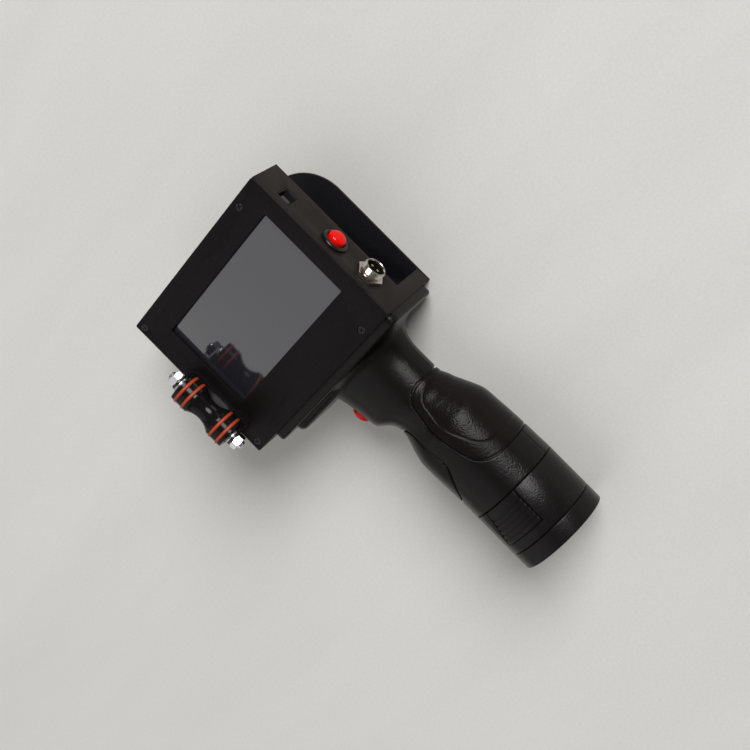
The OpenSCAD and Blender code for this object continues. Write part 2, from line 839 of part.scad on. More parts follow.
module roller_hub() {
    waist_half = 8;
    drop = roller_r - waist_r;
    hollow_r = (waist_half * waist_half + drop * drop) / (2 * drop);
    color("#191818")
    translate([roller_x, roller_y, roller_z]) rotate([90, 0, 0])
    difference() {
        cylinder(h = roller_len, r = roller_r, center = true);
        cylinder(h = roller_len + 2, r = shaft_r + bush_wall + fit, center = true);
        rotate_extrude() translate([waist_r + hollow_r, 0]) circle(hollow_r, $fn = 96);
        for (y = ring_places)
            translate([0, 0, y]) rotate_extrude() translate([ring_seat_r, 0]) circle(ring_t / 2 + 0.02);
    }
}

module roller_rings() {
    color("#c8491c")
    translate([roller_x, roller_y, roller_z]) rotate([90, 0, 0])
        for (y = ring_places)
            translate([0, 0, y]) rotate_extrude() translate([ring_seat_r, 0]) circle(ring_t / 2);
}

module roller_bushes() {
    color("#b08d4a")
    translate([roller_x, roller_y, roller_z])
        for (side = [-1, 1]) rotate([side * 90, 0, 0]) translate([0, 0, roller_len / 2 - bush_len])
            difference() {
                union() {
                    cylinder(h = bush_len, r = shaft_r + bush_wall);
                    translate([0, 0, bush_len]) cylinder(h = bush_flange, r = shaft_r + 2 * bush_wall);
                }
                translate([0, 0, -1]) cylinder(h = bush_len + bush_flange + 2, r = shaft_r + fit);
            }
}

module roller_shaft() {
    color("#d6d6d8")
    rod_y(roller_y - ear_out - nut_t - 2, roller_y + ear_out + nut_t + 2, roller_x, roller_z, shaft_r);
}

module roller_washers() {
    color("#e0e0e2")
    translate([roller_x, roller_y, roller_z])
        for (side = [-1, 1]) rotate([side * 90, 0, 0]) translate([0, 0, ear_in - washer_t]) difference() {
            cylinder(h = washer_t, r = shaft_r + 2.5);
            translate([0, 0, -1]) cylinder(h = washer_t + 2, r = shaft_r + fit);
        }
}

module shaft_nuts() {
    color("#e8e8ea")
    translate([roller_x, roller_y, roller_z])
        for (side = [-1, 1]) rotate([side * 90, 0, 0]) translate([0, 0, ear_out]) difference() {
            hexagon(nut_af, nut_t);
            translate([0, 0, -1]) cylinder(h = nut_t + 2, r = shaft_r + fit);
        }
}

// ---------- grip ----------

// Slice of the grip at one station, moved inwards by a depth, reaching along +Y by a length
module grip_slice(station, depth, length = 0.02) {
    translate([station[1], grip_end - station[0] * grip_len + length, grip_z]) rotate([90, 0, 0])
        scale([station[2] - depth, station[3] - depth, 1]) cylinder(h = length, r = 1, $fn = 40);
}

// Solid grip form from one station to the battery seam, moved inwards by a depth
module grip_form(depth, from = 0) {
    for (i = [from:len(stations) - 2])
        hull() {
            grip_slice(stations[i], depth);
            grip_slice(stations[i + 1], depth);
        }
}

// Hollow of the grip, open at the head and at the battery seam
module grip_hollow() {
    neck = 4;
    last = stations[len(stations) - 1];
    grip_form(grip_wall, neck);
    grip_slice(stations[neck], grip_wall, stations[neck][0] * grip_len + 1);
    translate([0, -5, 0]) grip_slice(last, grip_wall, 5.01);
}

module flange_form() {
    edge = 1.4;
    w = flange_x1 - flange_x0;
    h = flange_z1 - flange_z0;
    translate([(flange_x0 + flange_x1) / 2, grip_end, grip_z]) rotate([90, 0, 0]) hull() {
        linear_extrude(flange_t - edge) round_rect(w, h, 5);
        linear_extrude(flange_t) round_rect(w - 2 * edge, h - 2 * edge, 4);
    }
    translate([0, grip_end - flange_t, grip_z]) rotate([90, 0, 0]) hull() {
        translate([(plinth_x0 + neck_x) / 2, 0, -1])
            linear_extrude(1) round_rect(neck_x - plinth_x0, 2 * neck_half_z + 2, 5);
        translate([(plinth_x0 + neck_x) / 2 + 1.5, 0, 0])
            linear_extrude(plinth_h) round_rect(neck_x - plinth_x0 - 4, 2 * neck_half_z - 3, 4);
    }
}

// Outline of the palm pad seen from the side, grown by a width; the pad wraps the socket side
module palm_outline(grow) {
    y0 = grip_end - palm_shares[0] * grip_len;
    y1 = grip_end - palm_shares[1] * grip_len;
    x0 = battery_x + 0.6;
    rounds = [
        [x0 + 8, y0 - 8, 8], [x0 + 8.5, y0 - 19, 9], [x0 + 20, y1 + 14, 14],
        [x0 + 40, y0 - 7, 7], [x0 + 40, y1 + 7, 7]
    ];
    hull() for (c = rounds) translate([c[0], c[1]]) circle(c[2] + grow);
}

// Outline of the finger pad, which wraps the print side below the waist
module finger_outline(grow) {
    y_mid = grip_end - finger_share * grip_len;
    rounds = [
        [battery_x - 19.4, y_mid + 20.2, 7], [battery_x - 14.9, y_mid + 0.7, 8.6],
        [battery_x - 22.4, y_mid - 12.3, 8]
    ];
    hull() {
        for (c = rounds) translate([c[0], c[1]]) circle(c[2] + grow);
        translate([battery_x - 40, y_mid]) square([1, finger_len + 2 * grow], center = true);
    }
}

module pad_zone(grow, kind) {
    translate([0, 0, grip_z - 40]) linear_extrude(80)
        if (kind == "palm") palm_outline(grow); else finger_outline(grow);
}

module trigger_bore(r) {
    rod_x(trigger_x - 10, guide_x0 + 1, trigger_y, grip_z, r);
}

// Whole grip before it is split into halves
module grip_body() {
    difference() {
        union() {
            difference() {
                grip_form(0);
                pad_zone(pad_groove, "palm");
                pad_zone(pad_groove, "finger");
            }
            grip_form(pad_depth);
            flange_form();
        }
        grip_hollow();
        trigger_bore(trigger_r + loose);
        for (p = flange_places)
            rod_y(grip_end - flange_t - 1, grip_end + 1, p[0], p[1], flange_screw_r + fit);
    }
}

module grip_shell_front() {
    color("#161515")
    difference() {
        union() {
            intersection() {
                grip_body();
                translate([-200, -400, grip_z + 0.02]) cube([400, 400, 100]);
            }
            intersection() {
                grip_form(grip_wall / 2);
                for (p = grip_screw_places)
                    translate([p[0], p[1], grip_z + 0.02]) cylinder(h = 40, r = screw_boss_r);
            }
        }
        for (p = grip_screw_places)
            translate([p[0], p[1], grip_z - 1]) cylinder(h = 9, r = grip_screw_r + fit);
    }
}

module grip_shell_rear() {
    color("#151414")
    difference() {
        union() {
            intersection() {
                grip_body();
                translate([-200, -400, grip_z - 100]) cube([400, 400, 100]);
            }
            intersection() {
                grip_form(grip_wall / 2);
                for (p = grip_screw_places)
                    translate([p[0], p[1], grip_z - 40]) cylinder(h = 40, r = screw_boss_r);
            }
        }
        for (p = grip_screw_places) translate([p[0], p[1], 0]) {
            cylinder(h = grip_z + 1, r = grip_screw_r + fit);
            cylinder(h = grip_z - grip_screw_len + 7, r = grip_screw_head_r + 0.2);
        }
    }
}

module soft_pad(kind) {
    intersection() {
        difference() {
            grip_form(0);
            grip_form(pad_depth - fit);
        }
        pad_zone(0, kind);
    }
}

module palm_pad() {
    color("#1c1b1b") soft_pad("palm");
}

module finger_pad() {
    color("#1c1b1b") soft_pad("finger");
}

module flange_screws() {
    color("#c8c8ca")
    for (p = flange_places) {
        rod_y(grip_end + sheet, grip_end + sheet + 2, p[0], p[1], 2.7);
        rod_y(grip_end - flange_t + 0.8, grip_end + sheet + 0.01, p[0], p[1], flange_screw_r);
    }
}

module grip_screws() {
    color("#3a3a3c")
    for (p = grip_screw_places)
        translate([p[0], p[1], grip_z - grip_screw_len + 5]) {
            cylinder(h = grip_screw_head_h, r = grip_screw_head_r);
            translate([0, 0, grip_screw_head_h - 0.01])
                cylinder(h = grip_screw_len - 0.5, r = grip_screw_r);
        }
}

// ---------- trigger ----------

module trigger_button() {
    color("#e61910")
    translate([trigger_x - trigger_proud, trigger_y, grip_z]) rotate([0, 90, 0]) {
        dome = 1.5;
        back = guide_x0 + guide_len + fit - (trigger_x - trigger_proud);
        rotate_extrude()
            polygon(concat(
                [[0, 0]],
                [for (a = [90:-15:15]) [(trigger_r - dome) + dome * cos(a), dome - dome * sin(a)]],
                [[trigger_r, dome], [trigger_r, back], [trigger_r + 0.9, back],
                 [trigger_r + 0.9, back + trigger_flange], [trigger_stem_r, back + trigger_flange],
                 [trigger_stem_r, back + trigger_flange + switch_gap + 2],
                 [0, back + trigger_flange + switch_gap + 2]]));
    }
}

module trigger_guide() {
    color("#242424")
    difference() {
        rod_x(guide_x0, guide_x0 + guide_len, trigger_y, grip_z, trigger_r + guide_wall + fit);
        rod_x(guide_x0 - 1, guide_x0 + guide_len + 1, trigger_y, grip_z, trigger_r + fit);
    }
}

module trigger_switch() {
    color("#303236")
    difference() {
        union() {
            box(switch_x0, switch_x0 + switch_x, trigger_y - switch_y / 2, trigger_y + switch_y / 2,
                grip_z - switch_z / 2, grip_z + switch_z / 2);
            // arms that hold the guide ring
            for (side = [-1, 1])
                box(guide_x0 + 1, switch_x0 + 0.5, trigger_y + side * 8.1 - 0.8,
                    trigger_y + side * 8.1 + 0.8, grip_z - 3, grip_z + 3);
            // feet that reach the ribs of the two shells
            box(switch_x0 + switch_x - 4, switch_x0 + switch_x, trigger_y - 3, trigger_y + 3,
                grip_z - switch_foot, grip_z + switch_foot);
        }
        rod_x(switch_x0 - 1, switch_x0 + stem_depth, trigger_y, grip_z, trigger_stem_r + 0.1);
    }
}

module trigger_spring() {
    color("#d0d0d0")
    translate([switch_x0 - switch_gap + fit, trigger_y, grip_z])
        wire_spring(switch_gap - fit, trigger_stem_r + 1.6, 0.3, 3);
}

// ---------- wiring and contacts in the grip ----------

module grip_contact_block() {
    color("#26282b")
    difference() {
        union() {
            rod_y(block_y0, block_y0 + block_len, stick_x, grip_z, block_r);
            box(stick_x - 4, stick_x + 4, block_y0 + 1, block_y0 + block_len - 1,
                grip_z - block_wing, grip_z + block_wing);
        }
        for (x = blade_places)
            box(stick_x + x - blade_t / 2 - fit, stick_x + x + blade_t / 2 + fit, block_y0 - 1,
                block_y0 + block_len + 1, grip_z - blade_z / 2 - seat, grip_z + blade_z / 2 + seat);
    }
}

module grip_contacts() {
    color("#c9a85a")
    for (x = blade_places)
        box(stick_x + x - blade_t / 2, stick_x + x + blade_t / 2, block_y0 - 0.25,
            block_y0 + block_len + 4, grip_z - blade_z / 2, grip_z + blade_z / 2);
}

module grip_loom() {
    for (i = [-1:1])
        color(i == 0 ? "#b02020" : "#202020")
        rod_y(block_y0 + block_len, board_y0, loom_x + i * 2 * wire_r, loom_z, wire_r - 0.02);
}

// ---------- battery pack ----------

module battery_shell() {
    y0 = seam_y - battery_len + cap_len;
    color("#171616")
    difference() {
        union() {
            rod_y(y0, seam_y - 0.35, battery_x, grip_z, battery_r);
            rod_y(seam_y - 3, stick_y1, stick_x, grip_z, stick_r);
        }
        rod_y(y0 - 1, seam_y - 0.35 - battery_wall, battery_x, grip_z, battery_r - battery_wall);
        rod_y(y0 - 1, stick_y1 - 1.6, stick_x, grip_z, stick_r - stick_wall);
        for (x = blade_places)
            box(stick_x + x - 3, stick_x + x + 3, stick_y1 - 2, stick_y1 + 1, grip_z - 3.4, grip_z + 3.4);
        for (side = [-1, 1]) tab_zone(side, tab_gap);
    }
}

// Space of a release tab in the pack's wall, on the screen side or the back side
module tab_zone(side, grow) {
    x0 = battery_x + tab_shift - tab_half - grow;
    x1 = battery_x + tab_shift + tab_half + grow;
    root_y = tab_pivot_y - min(grow, loose);
    difference() {
        translate([0, 0, side > 0 ? grip_z : grip_z - battery_r - 1]) linear_extrude(battery_r + 1)
            polygon([[x0, seam_y + 1], [x0 - tab_slant, root_y], [x1, root_y], [x1, seam_y + 1]]);
        rod_y(root_y - 1, seam_y + 2, battery_x, grip_z, battery_r - tab_t - 1);
    }
}

module release_tab(side) {
    difference() {
        intersection() {
            difference() {
                rod_y(tab_pivot_y, seam_y - 0.45, battery_x, grip_z, battery_r);
                rod_y(tab_pivot_y - 1, seam_y + 1, battery_x, grip_z, battery_r - tab_t);
            }
            tab_zone(side, 0);
        }
        for (i = [1:rib_count])
            translate([battery_x, tab_pivot_y + i * rib_pitch, grip_z]) rotate([90, 0, 0])
                difference() {
                    cylinder(h = rib_w, r = battery_r + 1, center = true);
                    cylinder(h = 2 * rib_w, r = battery_r - rib_depth, center = true);
                }
    }
}

module release_tab_front() {
    color("#1a1919") release_tab(1);
}

module release_tab_rear() {
    color("#1a1919") release_tab(-1);
}

module battery_end_cap() {
    y0 = seam_y - battery_len;
    edge = 2;
    color("#171616")
    translate([battery_x, y0, grip_z]) rotate([-90, 0, 0]) rotate_extrude()
        polygon(concat(
            [[0, 0]],
            [for (a = [270:15:360]) [battery_r - edge + edge * cos(a), edge + edge * sin(a)]],
            [[battery_r, cap_len - 0.3], [battery_r - battery_wall - 0.1, cap_len - 0.3],
             [battery_r - battery_wall - 0.1, cap_len + 3],
             [battery_r - battery_wall - 1.6, cap_len + 3],
             [battery_r - battery_wall - 1.6, battery_wall], [0, battery_wall]]));
}

module battery_cells() {
    color("#2b6cb0")
    for (p = cell_places)
        rod_y(cells_y0, cells_y1, stick_x + p[0], grip_z + p[1], cell_r);
}

module battery_links() {
    color("#c4c6c8")
    for (y = [cells_y0 - 0.5, cells_y1])
        difference() {
            rod_y(y, y + 0.5, stick_x, grip_z, 2 / sqrt(3) * cell_r + 4);
            rod_y(y - 1, y + 2, stick_x, grip_z, 3);
        }
}

module battery_contacts() {
    color("#c9a85a")
    for (x = blade_places)
        box(stick_x + x - 2.6, stick_x + x + 2.6, cells_y1 + 0.5, stick_y1 - 0.1, grip_z - 3, grip_z + 3);
}

front_panel();
screen_glass();
screen_gasket();
lcd_module();
head_housing();
back_plate();
print_face_plate();
panel_screws();
back_plate_screws();
main_board();
board_chips();
board_spacers();
board_screws();
driver_board();
data_port_shell();
data_port_tongue();
power_button_cap();
power_button_bezel();
power_button_nut();
power_switch_body();
power_button_spring();
charge_socket_shell();
charge_socket_nut();
charge_socket_insulator();
charge_socket_pins();
cartridge_stall();
contact_block();
contact_pins();
cartridge_body();
cartridge_lid();
cartridge_nozzle_plate();
retaining_spring();
roller_bracket();
bracket_screws();
roller_hub();
roller_rings();
roller_bushes();
roller_shaft();
roller_washers();
shaft_nuts();
grip_shell_front();
grip_shell_rear();
palm_pad();
finger_pad();
flange_screws();
grip_screws();
trigger_button();
trigger_guide();
trigger_switch();
trigger_spring();
grip_contact_block();
grip_contacts();
grip_loom();
battery_shell();
battery_end_cap();
battery_cells();
battery_links();
battery_contacts();
release_tab_front();
release_tab_rear();
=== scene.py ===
# %% [markdown]
# # A handheld date code printer, lying on its back
# The printer is a sheet-metal head with a screen, a cartridge bay and a guide roller, on a moulded
# grip that ends in a battery pack. Its exact parts come in as a frame of CAD nodes. Each step below
# gives one part its softened edges, its small details and its finish, in the same place.

# %% The frame
import json
import math

import bmesh
import bpy
import numpy as np
from mathutils import Matrix, Vector
from mathutils.geometry import convex_hull_2d


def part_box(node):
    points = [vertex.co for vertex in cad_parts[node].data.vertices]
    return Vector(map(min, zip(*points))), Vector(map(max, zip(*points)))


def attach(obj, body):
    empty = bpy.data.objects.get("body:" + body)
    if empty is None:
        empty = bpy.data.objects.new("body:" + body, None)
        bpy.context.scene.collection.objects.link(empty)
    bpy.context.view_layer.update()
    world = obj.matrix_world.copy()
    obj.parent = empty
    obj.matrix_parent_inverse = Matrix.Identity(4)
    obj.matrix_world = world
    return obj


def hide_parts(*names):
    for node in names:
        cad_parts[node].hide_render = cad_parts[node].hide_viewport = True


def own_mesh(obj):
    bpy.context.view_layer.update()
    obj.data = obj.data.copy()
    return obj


bpy.ops.wm.read_factory_settings(use_empty=True)
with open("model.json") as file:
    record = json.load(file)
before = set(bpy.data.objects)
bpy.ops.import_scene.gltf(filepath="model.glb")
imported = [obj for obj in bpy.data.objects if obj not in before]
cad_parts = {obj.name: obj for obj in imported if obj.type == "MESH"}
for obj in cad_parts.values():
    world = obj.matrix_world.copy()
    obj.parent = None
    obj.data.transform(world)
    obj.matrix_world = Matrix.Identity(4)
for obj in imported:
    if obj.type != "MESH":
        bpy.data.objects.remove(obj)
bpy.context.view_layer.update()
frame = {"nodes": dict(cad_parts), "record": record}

# %% [markdown]
# ## Millimetres and pieces
# The printer was measured in millimetres, and Blender works in metres. Every helper takes
# millimetres and turns them to metres when it makes the mesh. A piece is put at the origin with its
# place in its vertices, so a pattern on Object coordinates never slides when a joint moves.

# %% Helpers that make a piece
MM = 0.001
body_of_node = {n: b for b, ns in frame["record"]["behaviour"]["bodies"].items() for n in ns}


def mm_box(node):
    return [[c / MM for c in corner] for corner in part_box(node)]


def mesh_of(name, corners, faces):
    mesh = bpy.data.meshes.new(name)
    mesh.from_pydata((np.asarray(corners, float) * MM).tolist(), [], faces)
    work = bmesh.new()
    work.from_mesh(mesh)
    bmesh.ops.recalc_face_normals(work, faces=work.faces)
    work.to_mesh(mesh)
    work.free()
    return mesh


def fit_piece(name, mesh, finish, body, *stands_for, crease=32):
    """Puts a finished mesh on its CAD body in place of the nodes it stands for."""
    if finish is not None:
        mesh.materials.clear()
        mesh.materials.append(finish)
        mesh.polygons.foreach_set("material_index", [0] * len(mesh.polygons))
    mesh.polygons.foreach_set("use_smooth", [True] * len(mesh.polygons))
    mesh.set_sharp_from_angle(angle=math.radians(crease))
    piece = bpy.data.objects.new(name, mesh)
    bpy.context.scene.collection.objects.link(piece)
    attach(piece, body)
    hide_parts(*stands_for)
    return piece


def carve(mesh, tool, how="DIFFERENCE"):
    """Cuts, joins or keeps what two closed meshes share."""
    stock = bpy.data.objects.new("block", mesh)
    cutter = bpy.data.objects.new("cutter", tool)
    for o in (stock, cutter):
        bpy.context.scene.collection.objects.link(o)
    step = stock.modifiers.new("carve", "BOOLEAN")
    step.operation, step.object, step.solver = how, cutter, "MANIFOLD"
    view = bpy.context.evaluated_depsgraph_get()
    made = bpy.data.meshes.new_from_object(stock.evaluated_get(view))
    for o in (stock, cutter):
        bpy.data.objects.remove(o)
    return made


# %% [markdown]
# ## Turned shapes and rounded profiles
# Caps, barrels, nuts and bushes are turned on a lathe in the real printer, so they are made the same
# way here: a profile of distances and radii goes round an axis. Real edges are never sharp, and
# `eased` swaps each corner of a profile for a short curve, which catches a line of light.


# %% Lathe, eased profile and block
X_AXIS, Y_AXIS, Z_AXIS = (1, 0, 0), (0, 1, 0), (0, 0, 1)


def eased(profile, size, steps=4):
    out = [profile[0]]
    for before, corner, after in zip(profile, profile[1:], profile[2:]):
        b, c, a = (np.array(p, float) for p in (before, corner, after))
        r = min(size, 0.45 * np.linalg.norm(b - c), 0.45 * np.linalg.norm(a - c))
        start = c + (b - c) / np.linalg.norm(b - c) * r
        end = c + (a - c) / np.linalg.norm(a - c) * r
        for t in np.linspace(0, 1, steps + 1):
            out.append(tuple((1 - t) ** 2 * start + 2 * t * (1 - t) * c + t * t * end))
    return out + [profile[-1]]


def lathe(name, profile, axis, at, sides=96, ring=False):
    """Turns (distance, radius) points round an axis that starts at a place. A ring has a hole."""
    corners, rows = [], []
    for along, radius in profile:
        if radius < 1e-6:
            rows.append([len(corners)])
            corners.append((0, 0, along))
            continue
        rows.append(list(range(len(corners), len(corners) + sides)))
        for k in range(sides):
            a = 2 * math.pi * k / sides
            corners.append((radius * math.cos(a), radius * math.sin(a), along))
    faces = []
    pairs = list(zip(rows, rows[1:])) + ([(rows[-1], rows[0])] if ring else [])
    for low, high in pairs:
        for k in range(sides):
            quad = [low[k % len(low)], low[(k + 1) % len(low)], high[(k + 1) % len(high)],
                    high[k % len(high)]]
            faces.append(list(dict.fromkeys(quad)))
    turn = Vector(Z_AXIS).rotation_difference(Vector(axis)).to_matrix()
    corners = [tuple(turn @ Vector(c) + Vector(at)) for c in corners]
    return mesh_of(name, corners, [f for f in faces if len(f) > 2])


def block(low, high):
    corners = [(x, y, z) for x in (low[0], high[0]) for y in (low[1], high[1]) for z in (low[2], high[2])]
    sides = [(0, 1, 3, 2), (4, 6, 7, 5), (0, 4, 5, 1), (2, 3, 7, 6), (0, 2, 6, 4), (1, 5, 7, 3)]
    return mesh_of("block", corners, sides)


def softened(node, finish, round_mm=0.25, steps=2, crease=35):
    """A copy of a CAD node with its loose triangles merged and its sharp edges rounded over."""
    mesh = frame["nodes"][node].data.copy()
    work = bmesh.new()
    work.from_mesh(mesh)
    bmesh.ops.remove_doubles(work, verts=work.verts, dist=2e-6)
    bmesh.ops.dissolve_limit(work, angle_limit=math.radians(0.6), verts=work.verts, edges=work.edges)
    sharp = [e for e in work.edges if len(e.link_faces) == 2 and e.calc_face_angle() > math.radians(crease)]
    bmesh.ops.bevel(work, geom=sharp, offset=round_mm * MM, segments=steps, profile=0.5, affect="EDGES",
                    clamp_overlap=True)
    work.to_mesh(mesh)
    work.free()
    print("softened", node, "to", len(mesh.polygons), "faces")
    return fit_piece(node + "_finished", mesh, finish, body_of_node[node], node)


# %% [markdown]
# ## Shared surface patterns
# Paint, moulded plastic and plated metal share a few effects: a fine grain, patches that are a bit
# duller, edges that hands have rubbed, and dust that settles on what faces up. Each effect is one
# node group with named inputs, so every finish can use it with its own values.


# %% Node group builder
def new_group(name, inputs, outputs):
    group = bpy.data.node_groups.new(name, "ShaderNodeTree")
    for label, start in inputs:
        kind = "NodeSocketFloat" if isinstance(start, (int, float)) else "NodeSocketVector"
        socket = group.interface.new_socket(label, in_out="INPUT", socket_type=kind)
        if kind == "NodeSocketFloat":
            socket.default_value = start
    for label in outputs:
        group.interface.new_socket(label, in_out="OUTPUT", socket_type="NodeSocketFloat")
    return group, group.nodes.new("NodeGroupInput"), group.nodes.new("NodeGroupOutput")


def sums(tree, how, a, b=None, clamp=False):
    """One arithmetic node. A number is typed in and a socket is linked."""
    step = tree.nodes.new("ShaderNodeMath")
    step.operation, step.use_clamp = how, clamp
    for k, value in enumerate((a, b)):
        if isinstance(value, (int, float)):
            step.inputs[k].default_value = value
        elif value is not None:
            tree.links.new(value, step.inputs[k])
    return step.outputs[0]


def noise(tree, where, scale, detail=2.0, stretch=None):
    """Noise on the object's own coordinates. A scale of 1000 gives lumps of about a millimetre."""
    if stretch:
        mapping = tree.nodes.new("ShaderNodeMapping")
        mapping.inputs["Scale"].default_value = stretch
        tree.links.new(where, mapping.inputs["Vector"])
        where = mapping.outputs[0]
    lumps = tree.nodes.new("ShaderNodeTexNoise")
    lumps.inputs["Detail"].default_value = detail
    tree.links.new(where, lumps.inputs["Vector"])
    if isinstance(scale, (int, float)):
        lumps.inputs["Scale"].default_value = scale
    else:
        tree.links.new(scale, lumps.inputs["Scale"])
    return lumps.outputs[0]


# %% Grain, wear and dust groups
powder, given, out = new_group("powder_coat_grain", [("Where", "v"), ("Lump mm", 0.5)], ["Height", "Patches"])
size = sums(powder, "DIVIDE", 1000.0, given.outputs["Lump mm"])
fine = noise(powder, given.outputs["Where"], size, 3.0)
coarse = noise(powder, given.outputs["Where"], sums(powder, "MULTIPLY", size, 0.31), 1.0)
powder.links.new(sums(powder, "ADD", fine, sums(powder, "MULTIPLY", coarse, 0.6)), out.inputs["Height"])
powder.links.new(noise(powder, given.outputs["Where"], 55.0, 4.0), out.inputs["Patches"])

hide, given, out = new_group("moulded_hide_grain", [("Where", "v"), ("Lump mm", 0.6)], ["Height", "Patches"])
size = sums(hide, "DIVIDE", 1000.0, given.outputs["Lump mm"])
pebbles = hide.nodes.new("ShaderNodeTexVoronoi")
pebbles.feature = "SMOOTH_F1"
pebbles.inputs["Smoothness"].default_value = 0.35
hide.links.new(given.outputs["Where"], pebbles.inputs["Vector"])
hide.links.new(size, pebbles.inputs["Scale"])
rough_bits = noise(hide, given.outputs["Where"], sums(hide, "MULTIPLY", size, 2.3), 2.0)
domes = sums(hide, "MULTIPLY", pebbles.outputs["Distance"], -1.0)
hide.links.new(sums(hide, "ADD", domes, sums(hide, "MULTIPLY", rough_bits, 0.5)), out.inputs["Height"])
hide.links.new(noise(hide, given.outputs["Where"], 40.0, 3.0), out.inputs["Patches"])

drawn, given, out = new_group("drawn_metal_lines", [("Where", "v"), ("Lump mm", 0.2)], ["Height", "Patches"])
size = sums(drawn, "DIVIDE", 1000.0, given.outputs["Lump mm"])
drawn.links.new(noise(drawn, given.outputs["Where"], size, 3.0, (1.0, 0.06, 1.0)), out.inputs["Height"])
drawn.links.new(noise(drawn, given.outputs["Where"], 300.0, 3.0), out.inputs["Patches"])

wear, given, out = new_group("rubbed_edges_and_dust", [("Where", "v"), ("Rub", 0.3), ("Dust", 0.1)],
                             ["Rubbed", "Dusty"])
shape = wear.nodes.new("ShaderNodeNewGeometry")
bright = sums(wear, "MULTIPLY", sums(wear, "SUBTRACT", shape.outputs["Pointiness"], 0.53), 9.0, True)
broken = sums(wear, "MULTIPLY", sums(wear, "SUBTRACT", noise(wear, given.outputs["Where"], 420.0, 4.0), 0.4),
              3.5, True)
wear.links.new(sums(wear, "MULTIPLY", sums(wear, "MULTIPLY", bright, broken), given.outputs["Rub"]),
               out.inputs["Rubbed"])
facing = wear.nodes.new("ShaderNodeSeparateXYZ")
wear.links.new(shape.outputs["Normal"], facing.inputs[0])
up = sums(wear, "MULTIPLY", sums(wear, "SUBTRACT", facing.outputs["Z"], 0.2), 1.2, True)
specks = sums(wear, "MULTIPLY",
              sums(wear, "SUBTRACT", noise(wear, given.outputs["Where"], 1500.0, 2.0), 0.62), 7.0, True)
haze = sums(wear, "ADD", sums(wear, "MULTIPLY", noise(wear, given.outputs["Where"], 90.0, 3.0), 0.06), specks)
wear.links.new(sums(wear, "MULTIPLY", sums(wear, "MULTIPLY", up, haze), given.outputs["Dust"], True),
               out.inputs["Dusty"])
print("node groups:", [g.name for g in (powder, hide, drawn, wear)])

# %% [markdown]
# ## Finishes
# A finish is one material: its colour, how dull it is, and which of the shared patterns runs over
# it. The shader keeps its own constant values, and the groups only feed colour, roughness and bump.


# %% Finish maker
def mixed(tree, amount, first, second):
    step = tree.nodes.new("ShaderNodeMix")
    step.data_type = "RGBA"
    tree.links.new(amount, step.inputs[0])
    for value, socket in ((first, step.inputs[6]), (second, step.inputs[7])):
        if isinstance(value, tuple):
            socket.default_value = (*value, 1.0)
        else:
            tree.links.new(value, socket)
    return step.outputs[2]


def finish(name, colour, dull, metal=0.0, grain=powder, lump=0.5, bump=0.15, patch=0.08, rub=0.0,
           bare=(0.16, 0.155, 0.15), dust=0.06, coat=0.0, ior=1.45, tint=0.90, depth=0.02, shine=0.5):
    """A material for one finish. patch is how much the dullness wanders, tint how dark a patch gets."""
    made = bpy.data.materials.new(name + "_finish")
    made.use_nodes = True
    tree = made.node_tree
    shader = tree.nodes["Principled BSDF"]
    shader.inputs["Metallic"].default_value = metal
    shader.inputs["IOR"].default_value = ior
    shader.inputs["Specular IOR Level"].default_value = shine
    if coat:
        shader.inputs["Coat Weight"].default_value = coat
        shader.inputs["Coat Roughness"].default_value = 0.08
    where = tree.nodes.new("ShaderNodeTexCoord").outputs["Object"]
    texture = tree.nodes.new("ShaderNodeGroup")
    texture.node_tree = grain
    texture.inputs["Lump mm"].default_value = lump
    used = tree.nodes.new("ShaderNodeGroup")
    used.node_tree = wear
    used.inputs["Rub"].default_value = rub
    used.inputs["Dust"].default_value = dust
    for group in (texture, used):
        tree.links.new(where, group.inputs["Where"])
    darker = tuple(c * tint for c in colour)
    shade = mixed(tree, texture.outputs["Patches"], darker, colour)
    shade = mixed(tree, used.outputs["Rubbed"], shade, bare)
    shade = mixed(tree, used.outputs["Dusty"], shade, (0.22, 0.21, 0.20))
    tree.links.new(shade, shader.inputs["Base Color"])
    wander = sums(tree, "MULTIPLY", sums(tree, "SUBTRACT", texture.outputs["Patches"], 0.5), patch)
    dullness = sums(tree, "ADD", sums(tree, "ADD", wander, dull),
                    sums(tree, "MULTIPLY", used.outputs["Dusty"], 0.5), True)
    tree.links.new(dullness, shader.inputs["Roughness"])
    lift = tree.nodes.new("ShaderNodeBump")
    lift.inputs["Strength"].default_value = bump
    lift.inputs["Distance"].default_value = depth * MM
    tree.links.new(texture.outputs["Height"], lift.inputs["Height"])
    tree.links.new(lift.outputs[0], shader.inputs["Normal"])
    return made


# %% Finishes of the head
panel_paint = finish("panel_paint", (0.0054, 0.0040, 0.0044), 0.44, lump=0.35, bump=0.22, shine=0.11)
case_paint = finish("case_paint", (0.0118, 0.0090, 0.0078), 0.50, lump=0.3, bump=0.3, shine=0.15)
plate_paint = finish("plate_paint", (0.0060, 0.0058, 0.0075), 0.42, lump=0.35, bump=0.2, shine=0.2)
bracket_paint = finish("bracket_paint", (0.0060, 0.0056, 0.0062), 0.24, lump=0.3, bump=0.12, shine=0.6)
touch_glass = finish("touch_glass", (0.016, 0.016, 0.021), 0.07, lump=8.0, bump=0.02, patch=0.06, dust=0.02,
                     coat=0.7, ior=1.75, tint=0.96)
gasket_rubber = finish("gasket_rubber", (0.004, 0.004, 0.004), 0.75, lump=0.4, shine=0.2)
lcd_metal = finish("lcd_metal", (0.45, 0.46, 0.48), 0.35, 1.0, drawn, 0.15, 0.1)
screw_oxide = finish("screw_oxide", (0.008, 0.007, 0.008), 0.34, 0.4, powder, 0.15, 0.2, rub=0.5,
                     bare=(0.3, 0.3, 0.32))
print("finishes for the head are ready")

